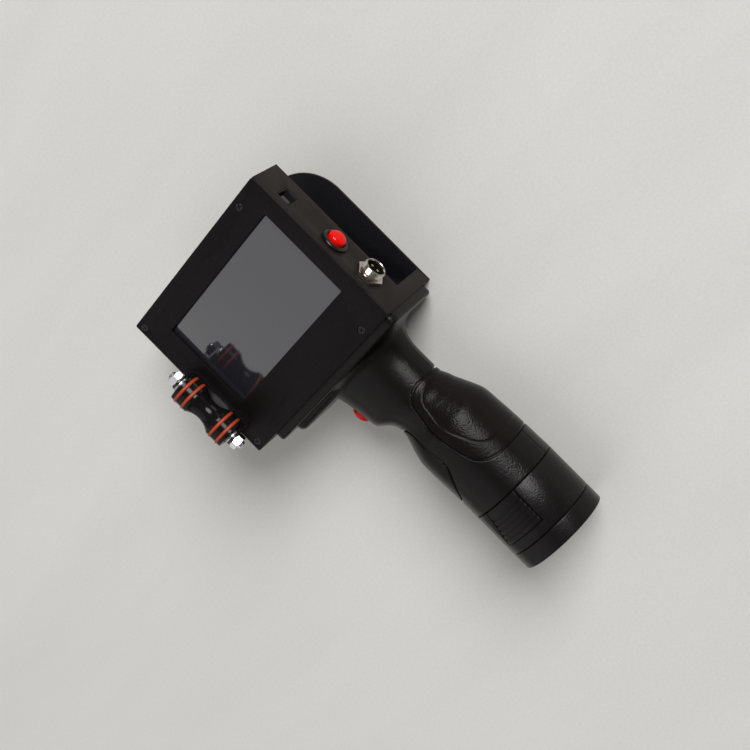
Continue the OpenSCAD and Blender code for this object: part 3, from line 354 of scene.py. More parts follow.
# %% Finishes of the small parts
red_cap = finish("red_cap", (0.62, 0.0035, 0.0012), 0.16, lump=0.9, bump=0.04, patch=0.06, dust=0.0,
                 coat=0.12, tint=0.95, shine=0.15)
bezel_plastic = finish("bezel_plastic", (0.006, 0.006, 0.006), 0.2, lump=0.3, bump=0.08, rub=0.1, shine=0.4)
nickel = finish("plated_nickel", (0.60, 0.55, 0.48), 0.17, 1.0, drawn, 0.12, 0.08, patch=0.2, dust=0.04,
                tint=0.8)
chrome = finish("bright_chrome", (0.68, 0.68, 0.70), 0.13, 1.0, drawn, 0.12, 0.06, patch=0.15, dust=0.03,
                tint=0.85)
zinc = finish("zinc_steel", (0.62, 0.62, 0.64), 0.3, 1.0, drawn, 0.15, 0.15, patch=0.25)
brass = finish("brass", (0.72, 0.50, 0.22), 0.28, 1.0, drawn, 0.15, 0.12, patch=0.2)
pin_metal = finish("pin_metal", (0.42, 0.36, 0.26), 0.25, 1.0, drawn, 0.1, 0.08)
dark_steel = finish("blackened_steel", (0.16, 0.155, 0.15), 0.28, 0.9, drawn, 0.15, 0.12, patch=0.2, rub=0.3,
                    bare=(0.5, 0.5, 0.5))
port_black = finish("port_black", (0.012, 0.011, 0.011), 0.3, 0.4, drawn, 0.15, 0.1, rub=0.3)
insulator = finish("insulator", (0.006, 0.005, 0.005), 0.4, lump=0.3, bump=0.1, shine=0.25)
port_grey = finish("port_tongue_plastic", (0.030, 0.030, 0.032), 0.35, lump=0.3, bump=0.1)
roller_acetal = finish("roller_acetal", (0.0050, 0.0044, 0.0044), 0.14, lump=0.9, bump=0.05, patch=0.15,
                       dust=0.02, shine=0.16)
orange_rubber = finish("orange_rubber", (0.36, 0.040, 0.010), 0.42, lump=0.25, bump=0.2)

# %% Finishes of the grip and of the insides
grip_plastic = finish("grip_plastic", (0.0045, 0.0036, 0.0034), 0.24, grain=hide, lump=0.95, bump=0.9,
                      depth=0.11, dust=0.0, shine=0.18)
grip_soft = finish("grip_soft", (0.0055, 0.0040, 0.0034), 0.24, grain=hide, lump=0.95, bump=0.9, depth=0.11,
                   dust=0.0, shine=0.11)
battery_plastic = finish("battery_plastic", (0.0060, 0.0048, 0.0050), 0.27, grain=hide, lump=0.8, bump=0.9,
                         depth=0.085, dust=0.01, shine=0.17)
stall_plastic = finish("stall_plastic", (0.0085, 0.0070, 0.0080), 0.5, lump=0.4, bump=0.25, shine=0.2)
ink_case = finish("ink_case", (0.0075, 0.0070, 0.0085), 0.38, grain=hide, lump=0.5, bump=0.25, shine=0.25)
lid_plastic = finish("lid_plastic", (0.0065, 0.0070, 0.0100), 0.33, lump=0.5, bump=0.2, shine=0.3)
board_green = finish("board_green", (0.010, 0.075, 0.025), 0.3, lump=0.8, bump=0.2, coat=0.3)
board_blue = finish("board_blue", (0.008, 0.040, 0.150), 0.3, lump=0.8, bump=0.2, coat=0.3)
chip_black = finish("chip_black", (0.012, 0.012, 0.013), 0.45, lump=0.2, bump=0.2)
cell_wrap = finish("cell_wrap", (0.020, 0.120, 0.420), 0.25, lump=1.5, bump=0.1, coat=0.3)
wire_skin = finish("wire_skin", (0.030, 0.020, 0.020), 0.45, lump=0.5, bump=0.1)
print(len(bpy.data.materials), "materials")

# %% [markdown]
# ## Sheet-metal head
# The case, its panel and the two plates are folded and cut sheet with powder coat. Their exact shape
# is already in the frame, so a merged copy with its edges rounded over is all that paint does to
# real sheet. A boxy stand-in would lose the holes and the corner that is cut to a large radius.

# %% Head plates, screen and bay
for node, paint, size in (
    ("front_panel", panel_paint, 0.22), ("head_housing", case_paint, 0.3),
    ("back_plate", plate_paint, 0.25), ("print_face_plate", plate_paint, 0.2),
    ("roller_bracket", bracket_paint, 0.2), ("screen_glass", touch_glass, 0.15),
    ("screen_gasket", gasket_rubber, 0.05), ("lcd_module", lcd_metal, 0.1),
    ("cartridge_stall", stall_plastic, 0.3), ("contact_block", chip_black, 0.3),
    ("cartridge_body", ink_case, 0.6), ("cartridge_lid", lid_plastic, 0.5),
    ("cartridge_nozzle_plate", pin_metal, 0.1), ("retaining_spring", zinc, 0.08),
    ("data_port_shell", port_black, 0.1), ("data_port_tongue", port_grey, 0.3),
):
    softened(node, paint, size)

# %% [markdown]
# ## Screws, set out with Geometry Nodes
# The panel, the bracket and the back plate are held by the same cross-head screws, each turned as
# the driver left it. One screw is modelled once, and a node tree copies it to a list of places with
# a random turn from a fixed seed, which is how such a repeated part is best kept editable.


# %% Geometry Nodes helpers
def node_tree(name, inputs):
    tree = bpy.data.node_groups.new(name, "GeometryNodeTree")
    tree.interface.new_socket("Geometry", in_out="INPUT", socket_type="NodeSocketGeometry")
    for label, kind in inputs:
        tree.interface.new_socket(label, in_out="INPUT", socket_type="NodeSocket" + kind)
    tree.interface.new_socket("Geometry", in_out="OUTPUT", socket_type="NodeSocketGeometry")
    return tree, tree.nodes.new("NodeGroupInput").outputs, tree.nodes.new("NodeGroupOutput").inputs[0]


def wire_up(tree, kind, links, **settings):
    """Adds a node, sets what it is given and links the named inputs to sockets or values."""
    step = tree.nodes.new(kind)
    for key, value in settings.items():
        setattr(step, key, value)
    for key, value in links.items():
        if isinstance(value, bpy.types.NodeSocket):
            tree.links.new(value, step.inputs[key])
        else:
            step.inputs[key].default_value = value
    return step.outputs


def run_tree(tree, base, values):
    """Runs a tree on a base mesh with its inputs set by identifier, and returns a plain mesh."""
    stock = bpy.data.objects.new("stock", base)
    bpy.context.scene.collection.objects.link(stock)
    step = stock.modifiers.new(tree.name, "NODES")
    step.node_group = tree
    for item in tree.interface.items_tree:
        if item.in_out == "INPUT" and item.name in values:
            step[item.identifier] = values[item.name]
    stock.update_tag()
    view = bpy.context.evaluated_depsgraph_get()
    made = bpy.data.meshes.new_from_object(stock.evaluated_get(view))
    stock.modifiers.remove(step)
    bpy.data.objects.remove(stock)
    return made


def send_out(tree, shape, given, result):
    """Makes one plain mesh of a shape and its copies, gives it the finish and sends it out."""
    solid = wire_up(tree, "GeometryNodeRealizeInstances", {"Geometry": shape})[0]
    painted = wire_up(tree, "GeometryNodeSetMaterial", {"Geometry": solid, "Material": given["Finish"]})[0]
    tree.links.new(painted, result)


# %% Tree that sets a part out on a list of places
set_out, given, result = node_tree("set_out_on_places", [("Part", "Object"), ("Turn seed", "Int"),
                                                         ("Turn", "Float"), ("Finish", "Material")])
part = wire_up(set_out, "GeometryNodeObjectInfo", {"Object": given["Part"]})["Geometry"]
turn = wire_up(set_out, "FunctionNodeRandomValue", {"Max": given["Turn"], "Seed": given["Turn seed"]},
               data_type="FLOAT")
turn = next(o for o in turn if o.enabled)
angle = wire_up(set_out, "ShaderNodeCombineXYZ", {"Z": turn})[0]
copies = wire_up(set_out, "GeometryNodeInstanceOnPoints",
                 {"Points": given["Geometry"], "Instance": part, "Rotation": angle})[0]
send_out(set_out, copies, given, result)


def places_mesh(places):
    mesh = bpy.data.meshes.new("places")
    mesh.from_pydata([tuple(c * MM for c in p) for p in places], [], [])
    return mesh


def set_parts_out(name, part_mesh, places, finish_of, body, node, seed=3, turn=math.tau, flip=False):
    part = bpy.data.objects.new("part_to_copy", part_mesh)
    bpy.context.scene.collection.objects.link(part)
    where = [(p[0], -p[1], -p[2]) for p in places] if flip else places
    made = run_tree(set_out, places_mesh(where),
                    {"Part": part, "Turn seed": seed, "Turn": turn, "Finish": finish_of})
    bpy.data.objects.remove(part)
    if flip:
        made.transform(Matrix.Rotation(math.pi, 4, "X"))
    print(name, "has", len(places), "copies and", len(made.polygons), "faces")
    return fit_piece(name, made, finish_of, body, node)


# %% One cross-head screw, then every set of them
def cross_screw(length, head_r=2.4, shank_r=1.2):
    profile = [(-length, 0), (-length, shank_r * 0.6), (-length + 0.8, shank_r), (-1.2, shank_r),
               (-0.18, head_r), (-0.04, head_r - 0.06), (0.0, head_r - 0.35), (0.0, 0)]
    screw = lathe("cross_screw", profile, (0, 0, 1), (0, 0, 0), 40)
    for wide, long in ((0.5, 2.7), (2.7, 0.5)):
        screw = carve(screw, block((-wide / 2, -long / 2, -0.75), (wide / 2, long / 2, 1)))
    return screw


def node_places(node, top=True):
    """Where the separate solids of a CAD node stand: the middle of each, at its top or underside."""
    work = bmesh.new()
    work.from_mesh(frame["nodes"][node].data)
    bmesh.ops.remove_doubles(work, verts=work.verts, dist=2e-6)
    left, found = set(work.verts), []
    while left:
        reach, island = [left.pop()], []
        while reach:
            v = reach.pop()
            island.append(v.co / MM)
            for e in v.link_edges:
                o = e.other_vert(v)
                if o in left:
                    left.discard(o)
                    reach.append(o)
        co = np.array(island)
        low, high = co.min(0), co.max(0)
        place = (low + high) / 2
        place[2] = high[2] if top else low[2]
        found.append(tuple(place))
    work.free()
    return sorted(found)


set_parts_out("panel_screws_finished", cross_screw(6.9), node_places("panel_screws"), screw_oxide, "root",
              "panel_screws")
set_parts_out("bracket_screws_finished", cross_screw(8.9), node_places("bracket_screws"), screw_oxide, "root",
              "bracket_screws", seed=8)
set_parts_out("back_plate_screws_finished", cross_screw(7.9), node_places("back_plate_screws", top=False),
              screw_oxide, "root", "back_plate_screws", seed=5, flip=True)
set_parts_out("grip_screws_finished", cross_screw(14.5, 2.5, 1.35), node_places("grip_screws", top=False),
              zinc, "root", "grip_screws", seed=6, flip=True)

# %% [markdown]
# ## Rings along an axis
# The O-rings on the roller and the thread of the charging socket are all rings at an even pitch.
# One tree sweeps a small profile round a circle and repeats it. Four sides make a thread's sharp
# crest, and many sides make a round ring.

# %% Ring tree
rings, given, result = node_tree("rings_on_an_axis",
                                 [("Count", "Int"), ("Pitch", "Vector"), ("Ring radius", "Float"),
                                  ("Wire radius", "Float"), ("Sides", "Int"), ("Finish", "Material")])
path = wire_up(rings, "GeometryNodeCurvePrimitiveCircle",
               {"Resolution": 96, "Radius": given["Ring radius"]})[0]
wire = wire_up(rings, "GeometryNodeCurvePrimitiveCircle",
               {"Resolution": given["Sides"], "Radius": given["Wire radius"]})[0]
ring = wire_up(rings, "GeometryNodeCurveToMesh", {"Curve": path, "Profile Curve": wire})[0]
line = wire_up(rings, "GeometryNodeMeshLine",
               {"Count": given["Count"], "Start Location": (0, 0, 0), "Offset": given["Pitch"]})[0]
copies = wire_up(rings, "GeometryNodeInstanceOnPoints", {"Points": line, "Instance": ring})[0]
send_out(rings, copies, given, result)


def stood_along(mesh, axis, at):
    """Turns a mesh that was made along Z to an axis and sets it at a place."""
    turn = Vector(Z_AXIS).rotation_difference(Vector(axis)).to_matrix().to_4x4()
    mesh.transform(Matrix.Translation(Vector(at) * MM) @ turn)
    return mesh


def ring_set(count, pitch, ring_r, wire_r, sides, finish_of, axis, at):
    """Rings from a place along an axis, as a plain mesh in its place."""
    made = run_tree(rings, places_mesh([(0, 0, 0)]), {
        "Count": count, "Pitch": (0.0, 0.0, pitch * MM), "Ring radius": ring_r * MM,
        "Wire radius": wire_r * MM, "Sides": sides, "Finish": finish_of})
    return stood_along(made, axis, at)


def together(*meshes):
    work = bmesh.new()
    for mesh in meshes:
        work.from_mesh(mesh)
    bmesh.ops.recalc_face_normals(work, faces=work.faces)
    made = bpy.data.meshes.new("together")
    work.to_mesh(made)
    work.free()
    return made


# %% [markdown]
# ## Power button and charging socket
# These stand in a row on the socket side. The red cap is a moulded dome in a black bezel, and the
# charging socket is a plated, threaded barrel with a hexagon nut and two pins. They are turned from
# profiles, because their edges and threads are what catch the light.


# %% Nuts and sockets
def hex_nut(across, thick, bore, axis, at, spin=0.0):
    """A nut whose corners are turned down at both faces, as a real one is."""
    corners = [(across / math.sqrt(3) * math.cos(math.radians(60 * k + spin)),
                across / math.sqrt(3) * math.sin(math.radians(60 * k + spin))) for k in range(6)]
    flats = [(k, (k + 1) % 6, 6 + (k + 1) % 6, 6 + k) for k in range(6)]
    prism = mesh_of("prism", [(x, y, z) for z in (0, thick) for x, y in corners],
                    [tuple(range(5, -1, -1)), tuple(range(6, 12))] + flats)
    big = across / math.sqrt(3)
    drum = lathe("drum",
                 [(0, bore), (0, across * 0.48), (thick * 0.14, big + 0.02), (thick * 0.86, big + 0.02),
                          (thick, across * 0.48), (thick, bore)], (0, 0, 1), (0, 0, 0), 72, ring=True)
    return stood_along(carve(prism, drum, "INTERSECT"), axis, at)


face_x = 60.0
low, high = mm_box("power_button_cap")
button_y, button_z = (low[1] + high[1]) / 2, (low[2] + high[2]) / 2
cap_r = (high[1] - low[1]) / 2
top = high[0]
dome_h = 2.7
cap_profile = [(low[0], 0), (low[0], cap_r)] + [
    (top - dome_h + dome_h * math.sin(a), cap_r * math.cos(a)) for a in np.linspace(0, 1.5, 16)
] + [(top, 0)]
fit_piece("power_button_cap_finished", lathe("cap", cap_profile, X_AXIS, (0, button_y, button_z)), red_cap,
          "power_button", "power_button_cap", crease=50)
bezel = eased([(face_x - 9.9, cap_r + 0.05), (face_x + 1.2, cap_r + 0.05), (face_x + 1.95, cap_r + 0.6),
               (face_x + 1.95, cap_r + 1.5), (face_x + 1.2, cap_r + 2.45), (face_x + 0.02, cap_r + 2.45),
               (face_x + 0.02, cap_r + 0.95), (face_x - 9.9, cap_r + 0.95)], 0.35)
fit_piece("power_button_bezel_finished", lathe("bezel", bezel, X_AXIS, (0, button_y, button_z), ring=True),
          bezel_plastic, "root", "power_button_bezel", crease=50)

low, high = mm_box("charge_socket_shell")
plug_y, plug_z = (low[1] + high[1]) / 2, (low[2] + high[2]) / 2
groove_x0, groove_x1, inner_nut_x0, inner_nut_x1 = 62.5, 63.5, 57.0, 58.5
barrel = eased([(low[0], 4.92), (high[0] - 0.5, 4.92), (high[0], 5.2), (high[0], 5.45), (high[0] - 0.6, 5.62),
                (groove_x1 + 0.02, 5.62), (groove_x1 - 0.02, 5.45), (groove_x0 + 0.02, 5.45),
                (groove_x0 - 0.02, 5.9), (inner_nut_x1, 5.9), (inner_nut_x1, 7.35), (inner_nut_x0, 7.35),
                (inner_nut_x0, 5.95), (low[0], 5.95)], 0.12, 2)
thread = ring_set(4, 0.78, 5.6, 0.37, 4, nickel, X_AXIS, (groove_x1 + 0.42, plug_y, plug_z))
fit_piece("charge_socket_shell_finished",
          together(lathe("barrel", barrel, X_AXIS, (0, plug_y, plug_z), ring=True), thread),
          nickel, "root", "charge_socket_shell")
fit_piece("charge_socket_nut_finished", hex_nut(14, 2.48, 6.02, X_AXIS, (face_x, plug_y, plug_z), 30), nickel,
          "root", "charge_socket_nut")
# A dark ring lines the barrel's mouth. It is painted shade for the inside of the socket, a recess in shade,
# and not a real part.
painted_shade_sleeve = [(high[0] - 4.6, 4.9), (high[0] - 0.7, 4.9), (high[0] - 0.9, 4.66), (high[0] - 4.6, 4.6)]
fit_piece("charge_socket_lining", lathe("painted_shade_sleeve", painted_shade_sleeve, X_AXIS, (0, plug_y, plug_z), ring=True), insulator,
          "root")
softened("charge_socket_insulator", insulator, 0.15)
softened("charge_socket_pins", pin_metal, 0.2)

# %% [markdown]
# ## Guide roller
# The roller is turned from black acetal: full at both ends, with a hollow waist, and four grooves
# that hold orange O-rings. Its radius follows a rule along its length, so a node tree shapes a plain
# drum by that rule. Changing the waist or the ring places only needs new numbers.

# %% Roller rule as a node tree
turned, given, result = node_tree("turned_roller",
                                  [("Length", "Float"), ("Rim", "Float"), ("Waist", "Float"),
                                   ("Waist half", "Float"), ("Inner ring", "Float"), ("Outer ring", "Float"),
                                   ("Seat", "Float"), ("Groove", "Float"), ("Finish", "Material")])


def calc(how, a, b=0.0):
    return wire_up(turned, "ShaderNodeMath", {0: a, 1: b}, operation=how)[0]


def squared(a):
    return calc("MULTIPLY", a, a)


def half_chord(circle_r, off_middle):
    return calc("SQRT", calc("MAXIMUM", calc("SUBTRACT", squared(circle_r), squared(off_middle)), 0.0))


END_EASE = 0.0005
drum = wire_up(turned, "GeometryNodeMeshCylinder", {
    "Vertices": 96, "Side Segments": 260, "Fill Segments": 4,
    "Radius": given["Rim"], "Depth": given["Length"]})[0]
spot = wire_up(turned, "ShaderNodeSeparateXYZ", {0: wire_up(turned, "GeometryNodeInputPosition", {})[0]})
along = calc("ABSOLUTE", spot[2])
drop = calc("SUBTRACT", given["Rim"], given["Waist"])
hollow = calc("DIVIDE", calc("ADD", squared(given["Waist half"]), squared(drop)), calc("MULTIPLY", drop, 2.0))
arc = half_chord(hollow, along)
waist = calc("SUBTRACT", calc("ADD", given["Waist"], hollow), arc)
in_waist = calc("LESS_THAN", along, given["Waist half"])
radius = calc("ADD", calc("MULTIPLY", in_waist, waist),
              calc("MULTIPLY", calc("SUBTRACT", 1.0, in_waist), given["Rim"]))
from_inner, from_outer = (calc("ABSOLUTE", calc("SUBTRACT", along, given[ring]))
                          for ring in ("Inner ring", "Outer ring"))
from_ring = calc("MINIMUM", from_inner, from_outer)
depth = half_chord(given["Groove"], from_ring)
off_groove = calc("GREATER_THAN", from_ring, given["Groove"])
grooved = calc("MINIMUM", radius, calc("ADD", calc("SUBTRACT", given["Seat"], depth), off_groove))
eased_from = calc("SUBTRACT", calc("MULTIPLY", given["Length"], 0.5), END_EASE)
to_end = calc("MAXIMUM", calc("SUBTRACT", along, eased_from), 0.0)
ease = calc("SUBTRACT", END_EASE, half_chord(END_EASE, to_end))
share = calc("DIVIDE", calc("SUBTRACT", grooved, ease), given["Rim"])
x, y = calc("MULTIPLY", spot[0], share), calc("MULTIPLY", spot[1], share)
scaled = wire_up(turned, "ShaderNodeCombineXYZ", {"X": x, "Y": y, "Z": spot[2]})[0]
shaped = wire_up(turned, "GeometryNodeSetPosition", {"Geometry": drum, "Position": scaled})[0]
send_out(turned, shaped, given, result)

# %% Roller, rings, bushes, shaft and nuts
low, high = mm_box("roller_hub")
roll_x, roll_y, roll_z = ((a + b) / 2 for a, b in zip(low, high))
rim = (high[2] - low[2]) / 2
INNER_RING, OUTER_RING, RING_PITCH, RING_R, RING_WIRE = 10.5, 15.6, 5.1, 8.1, 1.0
hub = run_tree(turned, places_mesh([(0, 0, 0)]), {
    "Length": (high[1] - low[1]) * MM, "Rim": rim * MM, "Waist": 6.0 * MM, "Waist half": 8.0 * MM,
    "Inner ring": INNER_RING * MM, "Outer ring": OUTER_RING * MM, "Seat": RING_R * MM, "Groove": 1.02 * MM,
    "Finish": roller_acetal})
lie_along_y = Matrix.Rotation(math.pi / 2, 4, "X")
hub.transform(Matrix.Translation(Vector((roll_x, roll_y, roll_z)) * MM) @ lie_along_y)
fit_piece("roller_hub_finished", hub, roller_acetal, "roller", "roller_hub", crease=40)
pairs = [ring_set(2, RING_PITCH, RING_R, RING_WIRE, 20, orange_rubber, Y_AXIS,
                  (roll_x, roll_y + start, roll_z))
         for start in (-OUTER_RING, INNER_RING)]
fit_piece("roller_rings_finished", together(*pairs), orange_rubber, "roller", "roller_rings", crease=60)

low, high = mm_box("roller_shaft")
ends = [(0, 0), (0.02, 0.9), (0.5, 2.0), (1.3, 2.45)]
shaft_len = high[1] - low[1]
profile = ends + [(shaft_len - a, r) for a, r in reversed(ends)]
fit_piece("roller_shaft_finished", lathe("shaft", profile, Y_AXIS, (roll_x, low[1], roll_z), 64), chrome,
          "root", "roller_shaft")
nuts = [hex_nut(8, 4.0, 2.52, (0, s, 0), (roll_x, roll_y + s * 21.55, roll_z), 15) for s in (-1, 1)]
fit_piece("shaft_nuts_finished", together(*nuts), chrome, "root", "shaft_nuts")
washer = eased([(0.02, 2.55), (0.78, 2.55), (0.78, 4.95), (0.02, 4.95), (0.02, 3.0)], 0.2)
washers = [lathe("washer", washer, (0, s, 0), (roll_x, roll_y + s * 19.25, roll_z), 72, ring=True)
           for s in (-1, 1)]
fit_piece("roller_washers_finished", together(*washers), zinc, "root", "roller_washers")
softened("roller_bushes", dark_steel, 0.15)
print("roller is", round(rim * 2, 1), "mm across")

# %% [markdown]
# ## Grip
# The grip is two moulded half shells. Its outline swells and narrows along a list of stations, each
# an ellipse, and a smooth curve through the stations gives the flowing neck. Pads and grooves are
# pressed into that surface by a depth that depends on the distance to a drawn outline, which keeps
# one clean grid and gives every groove rounded lips.

# %% Stations and the smooth curve through them
HEAD_Y, GRIP_LEN, GRIP_Z = -48.0, 106.0, 27.5
SEAM_Y = HEAD_Y - GRIP_LEN
stations = np.array([
    (0.0508, 13.7, 37.0, 23.5), (0.0598, 13.7, 33.0, 21.8), (0.0748, 13.7, 30.0, 20.2),
    (0.1008, 13.7, 27.8, 19.0), (0.165, 13.7, 25.9, 18.3), (0.23, 14.2, 25.0, 18.2),
    (0.29, 14.6, 24.6, 18.2), (0.33, 15.1, 24.0, 18.2), (0.352, 16.7, 22.6, 18.3),
    (0.372, 18.7, 21.2, 18.4), (0.395, 20.6, 20.5, 18.6), (0.42, 21.8, 20.3, 18.9),
    (0.47, 23.2, 21.7, 19.9), (0.52, 23.8, 23.8, 21.5), (0.57, 24.0, 25.6, 23.5),
    (0.63, 23.7, 26.4, 25.0), (0.74, 24.3, 26.4, 26.1), (0.87, 25.0, 26.4, 26.3),
    (1.0, 25.4, 26.5, 26.5)])


def smooth_through(at, knots, values):
    """A cubic through the stations that never swings past one of them."""
    gap = np.diff(knots)
    slope = np.diff(values) / gap
    lean = np.zeros(len(values))
    same = slope[:-1] * slope[1:] > 0
    w1, w2 = 2 * gap[1:] + gap[:-1], gap[1:] + 2 * gap[:-1]
    safe = np.where(same, slope[:-1], 1), np.where(same, slope[1:], 1)
    lean[1:-1] = np.where(same, (w1 + w2) / (w1 / safe[0] + w2 / safe[1]), 0)
    lean[0], lean[-1] = slope[0], slope[-1]
    i = np.clip(np.searchsorted(knots, at) - 1, 0, len(gap) - 1)
    t = (at - knots[i]) / gap[i]
    ends = (1 + 2 * t) * (1 - t) ** 2 * values[i] + t * t * (3 - 2 * t) * values[i + 1]
    return ends + gap[i] * (t * (1 - t) ** 2 * lean[i] + t * t * (t - 1) * lean[i + 1])


def station_sizes(y):
    """The centre, half width and half height of the grip at a place along it."""
    share = (HEAD_Y - y) / GRIP_LEN
    return [smooth_through(share, stations[:, 0], stations[:, k]) for k in (1, 2, 3)]


def grip_point(y, turn, depth=0.0):
    middle, half_x, half_z = station_sizes(y)
    return np.stack([middle + (half_x - depth) * np.cos(turn), y + 0 * turn,
                     GRIP_Z + (half_z - depth) * np.sin(turn)], -1)


# %% Pad outlines and the distance to them
def outline(rounds):
    spots = [Vector((x + r * math.cos(a), y + r * math.sin(a))) for x, y, r in rounds
             for a in np.linspace(0, math.tau, 40)]
    return np.array([spots[k][:] for k in convex_hull_2d(spots)])


def from_outline(x, y, shape):
    """How far a spot is outside a convex outline, and below zero inside it."""
    spots = np.stack([x, y], -1)[..., None, :]
    start, end = shape, np.roll(shape, -1, 0)
    edge = end - start
    t = np.clip(((spots - start) * edge).sum(-1) / (edge ** 2).sum(-1), 0, 1)
    away = np.linalg.norm(spots - (start + t[..., None] * edge), axis=-1).min(-1)
    side = edge[:, 0] * (spots[..., 1] - start[:, 1]) - edge[:, 1] * (spots[..., 0] - start[:, 0])
    inside = (side >= 0).all(-1) | (side <= 0).all(-1)
    return np.where(inside, -away, away)


pad_y0, pad_y1, pad_x = HEAD_Y - 0.33 * GRIP_LEN, HEAD_Y - 0.83 * GRIP_LEN, 26.0
palm = outline([(pad_x + 8, pad_y0 - 8, 8), (pad_x + 8.5, pad_y0 - 19, 9), (pad_x + 20, pad_y1 + 14, 14),
                (pad_x + 40, pad_y0 - 7, 7), (pad_x + 40, pad_y1 + 7, 7)])
palm_inner = outline([(pad_x + 12.5, pad_y0 - 11, 8), (pad_x + 13.5, pad_y0 - 21, 8.5),
                      (pad_x + 24, pad_y1 + 18.5, 12),
                      (pad_x + 40, pad_y0 - 10, 7), (pad_x + 40, pad_y1 + 13, 7)])
finger_y = HEAD_Y - 0.70 * GRIP_LEN
finger = outline([(6.0, finger_y + 20.2, 7), (10.5, finger_y + 0.7, 8.6), (3.0, finger_y - 12.3, 8),
                  (-14.6, finger_y + 22, 0.01), (-14.6, finger_y - 22, 0.01)])
print("palm pad is", round(pad_y0 - pad_y1, 1), "mm long")

# %% [markdown]
# The depth of the surface has three parts: the seat that each pad lies in, the fine line where the
# two half shells meet, and a small roll-off at the battery end. `lip` turns a distance into a rounded
# edge, so the light runs along every groove in a thin line. A pad's border is tucked a little below
# its seat, so no gap shows under it.

# %% Depth of the shells and of the pads
SEAT, GROOVE, LIP, TUCK = 1.2, 0.75, 0.4, 0.12
SEAM_DEEP, SEAM_HALF, END_ROLL, END_ROLL_LEN = 0.22, 0.45, 0.45, 0.5


def lip(past_edge, deep):
    """Falls from 0 to the full depth over a rounded edge."""
    t = np.clip(past_edge / LIP, 0, 1)
    return deep * (1 - np.sqrt(np.clip(1 - t * t, 0, 1)))


def shell_depth(x, y, turn, half_z):
    depth = np.zeros_like(x)
    for shape in (palm, finger):
        gone = GROOVE + LIP - from_outline(x, y, shape)
        depth = np.maximum(depth, np.where(gone > 0, lip(gone, SEAT), 0))
    off_line = np.abs(np.sin(turn)) * half_z
    depth = np.maximum(depth, SEAM_DEEP * np.clip(1 - off_line / SEAM_HALF, 0, 1))
    return np.maximum(depth, END_ROLL * np.clip(1 - (y - SEAM_Y) / END_ROLL_LEN, 0, 1) ** 2)


def scored(away, wide=0.55, deep=0.38):
    """A rounded groove along an inner line."""
    return deep * np.clip(1 - (away / wide) ** 2, 0, 1) ** 0.7


def pad_depth(x, y, shape, inner):
    edge = from_outline(x, y, shape)
    depth = np.where(edge > -LIP, lip(edge + LIP, SEAT + TUCK), 0)
    if inner is not None:
        depth = np.maximum(depth, scored(np.abs(from_outline(x, y, inner))))
    return depth, edge


# %% [markdown]
# Each half shell is a closed wall: an outer grid with the pressed depth, an inner grid 2.6 mm below
# it, and rims that join the two. The inner grid is never seen, so it has one row for every ten of the
# outer one. The flange that bolts to the head, the trigger's bore and the screw wells are then joined
# and cut with booleans, as a mould maker would cut them.


# %% Half shell as a closed wall
def wall_of(outer, inner, every):
    """Closes a fine outer grid and an inner grid with one row for every few into one wall."""
    rows, cols = outer.shape[:2]
    inner = inner[::every, ::every]
    corners = np.concatenate([outer.reshape(-1, 3), inner.reshape(-1, 3)])
    at = np.arange(rows * cols).reshape(rows, cols)
    low = np.arange(inner.shape[0] * inner.shape[1]).reshape(inner.shape[:2]) + rows * cols
    quads = lambda g: np.stack([g[:-1, :-1], g[1:, :-1], g[1:, 1:], g[:-1, 1:]], -1).reshape(-1, 4)
    round_trip = lambda g: np.concatenate([g[0], g[1:, -1], g[-1, -2::-1], g[-2:0:-1, 0]]).tolist()
    rim, under = round_trip(at), round_trip(low)
    rim.append(rim[0])
    under.append(under[0])
    sides = [rim[k * every:(k + 1) * every + 1] + [under[k + 1], under[k]] for k in range(len(under) - 1)]
    return mesh_of("wall", corners,
                   quads(at).tolist() + quads(low)[:, ::-1].tolist() + [f[::-1] for f in sides])


EVERY, WALL = 10, 2.6
grid_share = 1.0
rows, cols = int(34 * grid_share) * EVERY + 1, int(27 * grid_share) * EVERY + 1


def half_shell(start, end):
    steps = np.interp(np.linspace(0, 1, rows), [0, 0.2, 0.93, 1], [HEAD_Y - 5.385, -81.0, -146.0, SEAM_Y])
    y, turn = np.meshgrid(steps, np.linspace(start, end, cols), indexing="ij")
    top, half_z = grip_point(y, turn), station_sizes(y)[2]
    outer = grip_point(y, turn, shell_depth(top[..., 0], y, turn, half_z))
    return wall_of(outer, grip_point(y, turn, WALL), EVERY)


def rounded_slab(x0, x1, z0, z1, y0, y1, corner, edge):
    """A slab across Y with rounded corners, whose far face is rolled over."""
    rings_of = []
    for y, inset in [(y0, 0)] + [(y1 + edge * (1 - math.sin(a)), edge * (1 - math.cos(a)))
                                 for a in np.linspace(0, math.pi / 2, 5)]:
        r = max(corner - inset, 0.3)
        ring_points = []
        for cx, cz, first in ((x1, z1, 0), (x0, z1, 90), (x0, z0, 180), (x1, z0, 270)):
            px = cx - (corner if cx == x1 else -corner)
            pz = cz - (corner if cz == z1 else -corner)
            for a in np.radians(np.linspace(first, first + 90, 9)):
                ring_points.append((px + r * math.cos(a), y, pz + r * math.sin(a)))
        rings_of.append(ring_points)
    n = len(rings_of[0])
    faces = [tuple(range(n)), tuple(range((len(rings_of) - 1) * n, len(rings_of) * n))[::-1]]
    for k in range(len(rings_of) - 1):
        faces += [(k * n + i, k * n + (i + 1) % n, (k + 1) * n + (i + 1) % n, (k + 1) * n + i)
                  for i in range(n)]
    return mesh_of("slab", [p for ring_points in rings_of for p in ring_points], faces)


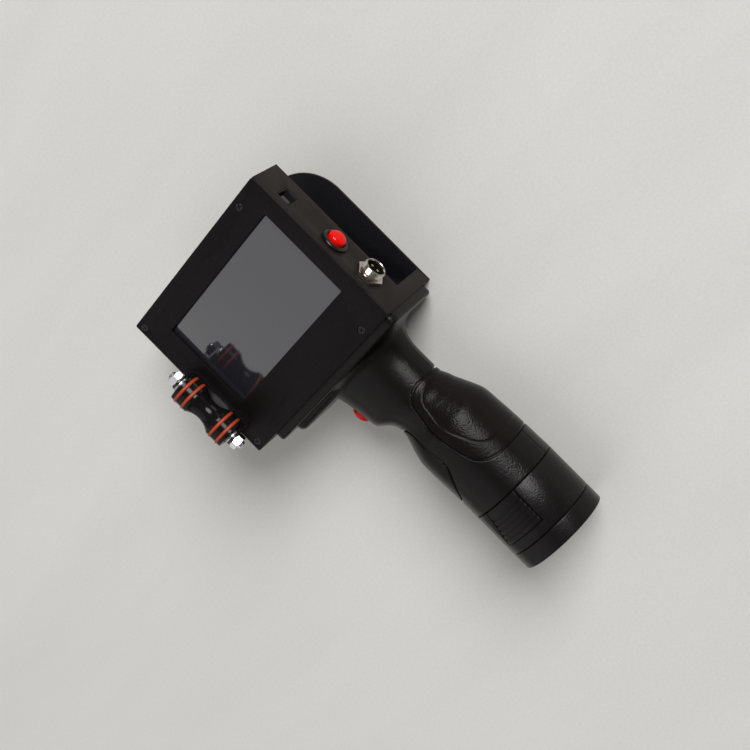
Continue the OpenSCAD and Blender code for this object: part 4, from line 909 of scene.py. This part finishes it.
# %% Both half shells
low, high = mm_box("grip_shell_front")
flange_x0, flange_x1 = low[0], high[0]
cap_box = mm_box("trigger_button")
trigger_y = (cap_box[0][1] + cap_box[1][1]) / 2
NECK_X, BORE_R, WELL_R = 13.7, 6.3, 2.8
flange = rounded_slab(flange_x0, flange_x1, 3.0, 52.0, HEAD_Y, HEAD_Y - 5.4, 5.0, 1.8)
plinth = rounded_slab(flange_x0 + 8.2, NECK_X, GRIP_Z - 19.0, GRIP_Z + 19.0, HEAD_Y - 4.0, HEAD_Y - 9.7, 7.5,
                      3.6)
base = carve(flange, plinth, "UNION")
inside = lathe("inside", [(0, 0), (0, 1), (8, 1), (8, 0)], (0, -1, 0), (0, 0, 0), 96)
oval = Matrix.Diagonal((25.0, 1.35, 16.2, 1))
inside.transform(Matrix.Translation(Vector((NECK_X, HEAD_Y + 1, GRIP_Z)) * MM) @ oval)
base = carve(base, inside)
bore = lathe("bore", [(0, 0), (0, BORE_R), (14, BORE_R), (14, 0)], X_AXIS, (-19, trigger_y, GRIP_Z), 96)
wells = [lathe("well", [(0, 0), (0, WELL_R), (20.5, WELL_R), (20.5, 0)], (0, 0, 1), (p[0], p[1], 0), 48)
         for p in node_places("grip_screws")]
for side, node, first in ((1, "grip_shell_front", 0.0), (-1, "grip_shell_rear", math.pi)):
    shell = half_shell(first + 1e-4, first + math.pi - 1e-4)
    z0, z1 = (GRIP_Z + 0.01, 100) if side > 0 else (-50, GRIP_Z - 0.01)
    keep = block((-100, -70, z0), (100, -40, z1))
    shell = carve(shell, carve(base, keep, "INTERSECT"), "UNION")
    shell = carve(shell, bore)
    if side < 0:
        for well in wells:
            shell = carve(shell, well)
    print(node, "has", len(shell.polygons), "faces")
    fit_piece(node + "_finished", shell, grip_plastic, "root", node, crease=40)

# %% [markdown]
# ## Soft pads
# The palm pad and the finger pad are softer mouldings that lie in their seats. Each is a closed shape
# too: its top follows the grip with a rounded border and, on the palm, a second line inside it.


# %% Pads
def pad(node, shape, inner, start, end, y_from, y_to):
    y, turn = np.meshgrid(np.linspace(y_from, y_to, int(190 * grid_share)),
                          np.linspace(start, end, int(280 * grid_share)), indexing="ij")
    top = grip_point(y, turn)
    deep, edge = pad_depth(top[..., 0], y, shape, inner)
    outer, under = grip_point(y, turn, deep), grip_point(y, turn, SEAT + 2 * TUCK)
    n = y.size
    at = np.arange(n).reshape(y.shape)
    held = edge < 0.25
    cell = held[:-1, :-1] & held[1:, :-1] & held[1:, 1:] & held[:-1, 1:]
    quads = np.stack([at[:-1, :-1], at[1:, :-1], at[1:, 1:], at[:-1, 1:]], -1)[cell]
    rim = {}
    for q in quads:
        for a, b in zip(q, np.roll(q, -1)):
            if (b, a) in rim:
                del rim[(b, a)]
            else:
                rim[(a, b)] = True
    sides = [(b, a, a + n, b + n) for a, b in rim]
    faces = quads.tolist() + (quads[:, ::-1] + n).tolist() + sides
    mesh = mesh_of(node, np.concatenate([outer.reshape(-1, 3), under.reshape(-1, 3)]), faces)
    work = bmesh.new()
    work.from_mesh(mesh)
    bmesh.ops.delete(work, geom=[v for v in work.verts if not v.link_faces], context="VERTS")
    work.to_mesh(mesh)
    work.free()
    print(node, "has", len(mesh.polygons), "faces")
    return fit_piece(node + "_finished", mesh, grip_soft, "root", node, crease=60)


pad("palm_pad", palm, palm_inner, -math.pi * 0.62, math.pi * 0.62, pad_y0 + 0.6, pad_y1 - 0.6)
pad("finger_pad", finger, None, math.pi * 0.40, math.pi * 1.60, finger_y + 28.0, finger_y - 23.0)

# %% [markdown]
# ## Trigger
# The trigger is the same red plastic as the power button's cap, with a rounder dome, because the
# finger rolls over it. The dome stands a little prouder than the plain cap that it replaces.

# %% Trigger
low, high = cap_box
PROUD, DOME_DEEP, DOME_R, COLLAR_R, STEM_R = 1.8, 2.6, 6.0, 6.85, 2.0
dome = [(low[0] - PROUD, 0)] + [(low[0] - PROUD + DOME_DEEP * (1 - math.cos(a)), DOME_R * math.sin(a))
                                for a in np.linspace(0.12, math.pi / 2, 14)]
back = 0.75
dome += [(back, DOME_R), (back, COLLAR_R), (back + 1.0, COLLAR_R), (back + 1.0, STEM_R),
         (high[0], STEM_R), (high[0], 0)]
fit_piece("trigger_button_finished", lathe("trigger", dome, X_AXIS, (0, trigger_y, GRIP_Z)), red_cap,
          "trigger", "trigger_button", crease=50)

# %% [markdown]
# ## Battery pack
# The pack is a round shell with an end cap and two sprung release tabs that stand in slots in its
# wall. The stick inside the grip shows when the pack is pulled out, so the exact shell is kept and
# only its edges are eased. The end cap is turned with a shallow ring on its face.

# %% Battery
softened("battery_shell", battery_plastic, 0.3, 2)
for node in ("release_tab_front", "release_tab_rear"):
    softened(node, battery_plastic, 0.18, 2)
low, high = mm_box("battery_end_cap")
pack_x, pack_y0 = (low[0] + high[0]) / 2, low[1]
cap = eased([(0.0, 17.0), (0.0, 26.5), (10.15, 26.5), (10.15, 24.3), (13.4, 24.25), (13.4, 22.8), (2.2, 22.7),
             (2.2, 10.0)], 0.9, 6)
cap = [(0.5, 0.0), (0.5, 15.2), (0.35, 15.6), (0.1, 16.0)] + cap[1:-1] + [(2.2, 0.0)]
fit_piece("battery_end_cap_finished", lathe("end_cap", cap, Y_AXIS, (pack_x, pack_y0, GRIP_Z), 144),
          battery_plastic, "battery", "battery_end_cap")

# %% [markdown]
# ## Parts inside
# Boards, cells and contacts only show when a part is moved or taken off. Their CAD meshes are good
# enough, so they keep them and only get a finish.


# %% Finishes on the inner CAD nodes
def dress(finish_of, *nodes):
    for node in nodes:
        mesh = frame["nodes"][node].data
        mesh.materials.clear()
        mesh.materials.append(finish_of)
    print(finish_of.name, "on", len(nodes), "inner parts")


dress(board_green, "main_board")
dress(board_blue, "driver_board")
dress(chip_black, "board_chips", "power_switch_body", "trigger_switch", "trigger_guide", "grip_contact_block")
dress(brass, "board_spacers", "contact_pins", "grip_contacts", "battery_contacts")
dress(zinc, "board_screws", "flange_screws", "power_button_nut", "battery_links")
dress(cell_wrap, "battery_cells")
dress(wire_skin, "grip_loom")

# %% [markdown]
# ## Springs
# A coil spring sits behind the red cap and behind the trigger. A press shortens it. Each copy here
# keeps its CAD coil's shape and gets a finish.

# %% Springs
for node, joint, fixed in (("power_button_spring", "power_press", 0), ("trigger_spring", "trigger_press", 1)):
    ends = mm_box(node)
    coil = fit_piece(node + "_finished", frame["nodes"][node].data.copy(), zinc, "root", node, crease=50)
    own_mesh(coil)

# %% [markdown]
# ## Floor and light
# The printer lies on a pale, faintly speckled sheet that sweeps up far behind it, so no edge shows.
# A wide soft light stands on the socket side and a dim panel hangs over the print side. The light's
# direction shows in the long highlight along the grip.

# %% Floor
FLAT_R, SWEEP_R = 5500, 3000
rise = [(SWEEP_R * (1 - math.cos(a)) - 0.02, FLAT_R + SWEEP_R * math.sin(a))
        for a in np.linspace(0, math.pi / 2, 25)]
floor_mesh = lathe("floor", [(-0.02, 0)] + rise + [(6000, FLAT_R + SWEEP_R)], (0, 0, 1), (0, 0, 0), 128)
floor_mesh.flip_normals()
floor_paint = bpy.data.materials.new("pale_floor")
floor_paint.use_nodes = True
tree = floor_paint.node_tree
shader = tree.nodes["Principled BSDF"]
shader.inputs["Roughness"].default_value = 0.75
where = tree.nodes.new("ShaderNodeTexCoord").outputs["Object"]
speck = noise(tree, where, 700.0, 3.0)
cloud = noise(tree, where, 4.0, 3.0)
streak = noise(tree, where, 9.0, 2.0, (0.35, 2.2, 1.0))
tone = sums(tree, "ADD", sums(tree, "MULTIPLY", speck, 0.8), sums(tree, "MULTIPLY", cloud, 0.3))
tone = sums(tree, "SUBTRACT", sums(tree, "ADD", tone, sums(tree, "MULTIPLY", streak, 0.6)), 0.35, True)
tree.links.new(mixed(tree, tone, (0.57, 0.558, 0.535), (0.70, 0.687, 0.658)), shader.inputs["Base Color"])
floor_mesh.materials.append(floor_paint)
floor = bpy.data.objects.new("floor", floor_mesh)
bpy.context.scene.collection.objects.link(floor)


# %% Lights and world
def soft_light(name, from_way, metres, size, watts, aim=(0.0, -0.05, 0.03), colour=(1, 1, 1)):
    lamp = bpy.data.lights.new(name, "AREA")
    lamp.shape, lamp.size, lamp.energy, lamp.color = "DISK", size, watts, colour
    holder = bpy.data.objects.new(name, lamp)
    bpy.context.scene.collection.objects.link(holder)
    way = Vector(from_way).normalized()
    holder.location = Vector(aim) + way * metres
    holder.rotation_mode = "QUATERNION"
    holder.rotation_quaternion = (-way).to_track_quat("-Z", "Y")


soft_light("key", (0.78, 0.30, 0.62), metres=5.0, size=2.9, watts=285)
soft_light("overhead_panel", (-0.66, -0.06, 0.75), metres=3.0, size=4.2, watts=28)
world = bpy.data.worlds.new("studio")
bpy.context.scene.world = world
world.use_nodes = True
world.node_tree.nodes["Background"].inputs["Color"].default_value = (0.95, 0.95, 0.95, 1)
world.node_tree.nodes["Background"].inputs["Strength"].default_value = 0.25
bpy.context.scene.view_settings.view_transform = "Standard"

# %% [markdown]
# ## Camera
# The camera looks down on the printer from the socket side, rolled so that the grip runs to the
# lower right.

# %% Camera
right, up = Vector((0.578, -0.704, -0.412)), Vector((0.591, 0.709, -0.384))
ahead = Vector((-0.563, 0.0215, -0.826))
lens = bpy.data.cameras.new("camera")
SENSOR, FOCAL, CAMERA_AT = 36.0, 61.97, (396.9, -78.2, 594.2)
lens.sensor_width, lens.lens = SENSOR, FOCAL
camera = bpy.data.objects.new("camera", lens)
bpy.context.scene.collection.objects.link(camera)
turn = Matrix((right, up, -ahead)).transposed()
camera.matrix_world = Matrix.Translation(Vector(CAMERA_AT) * MM) @ turn.to_quaternion().to_matrix().to_4x4()
bpy.context.scene.camera = camera
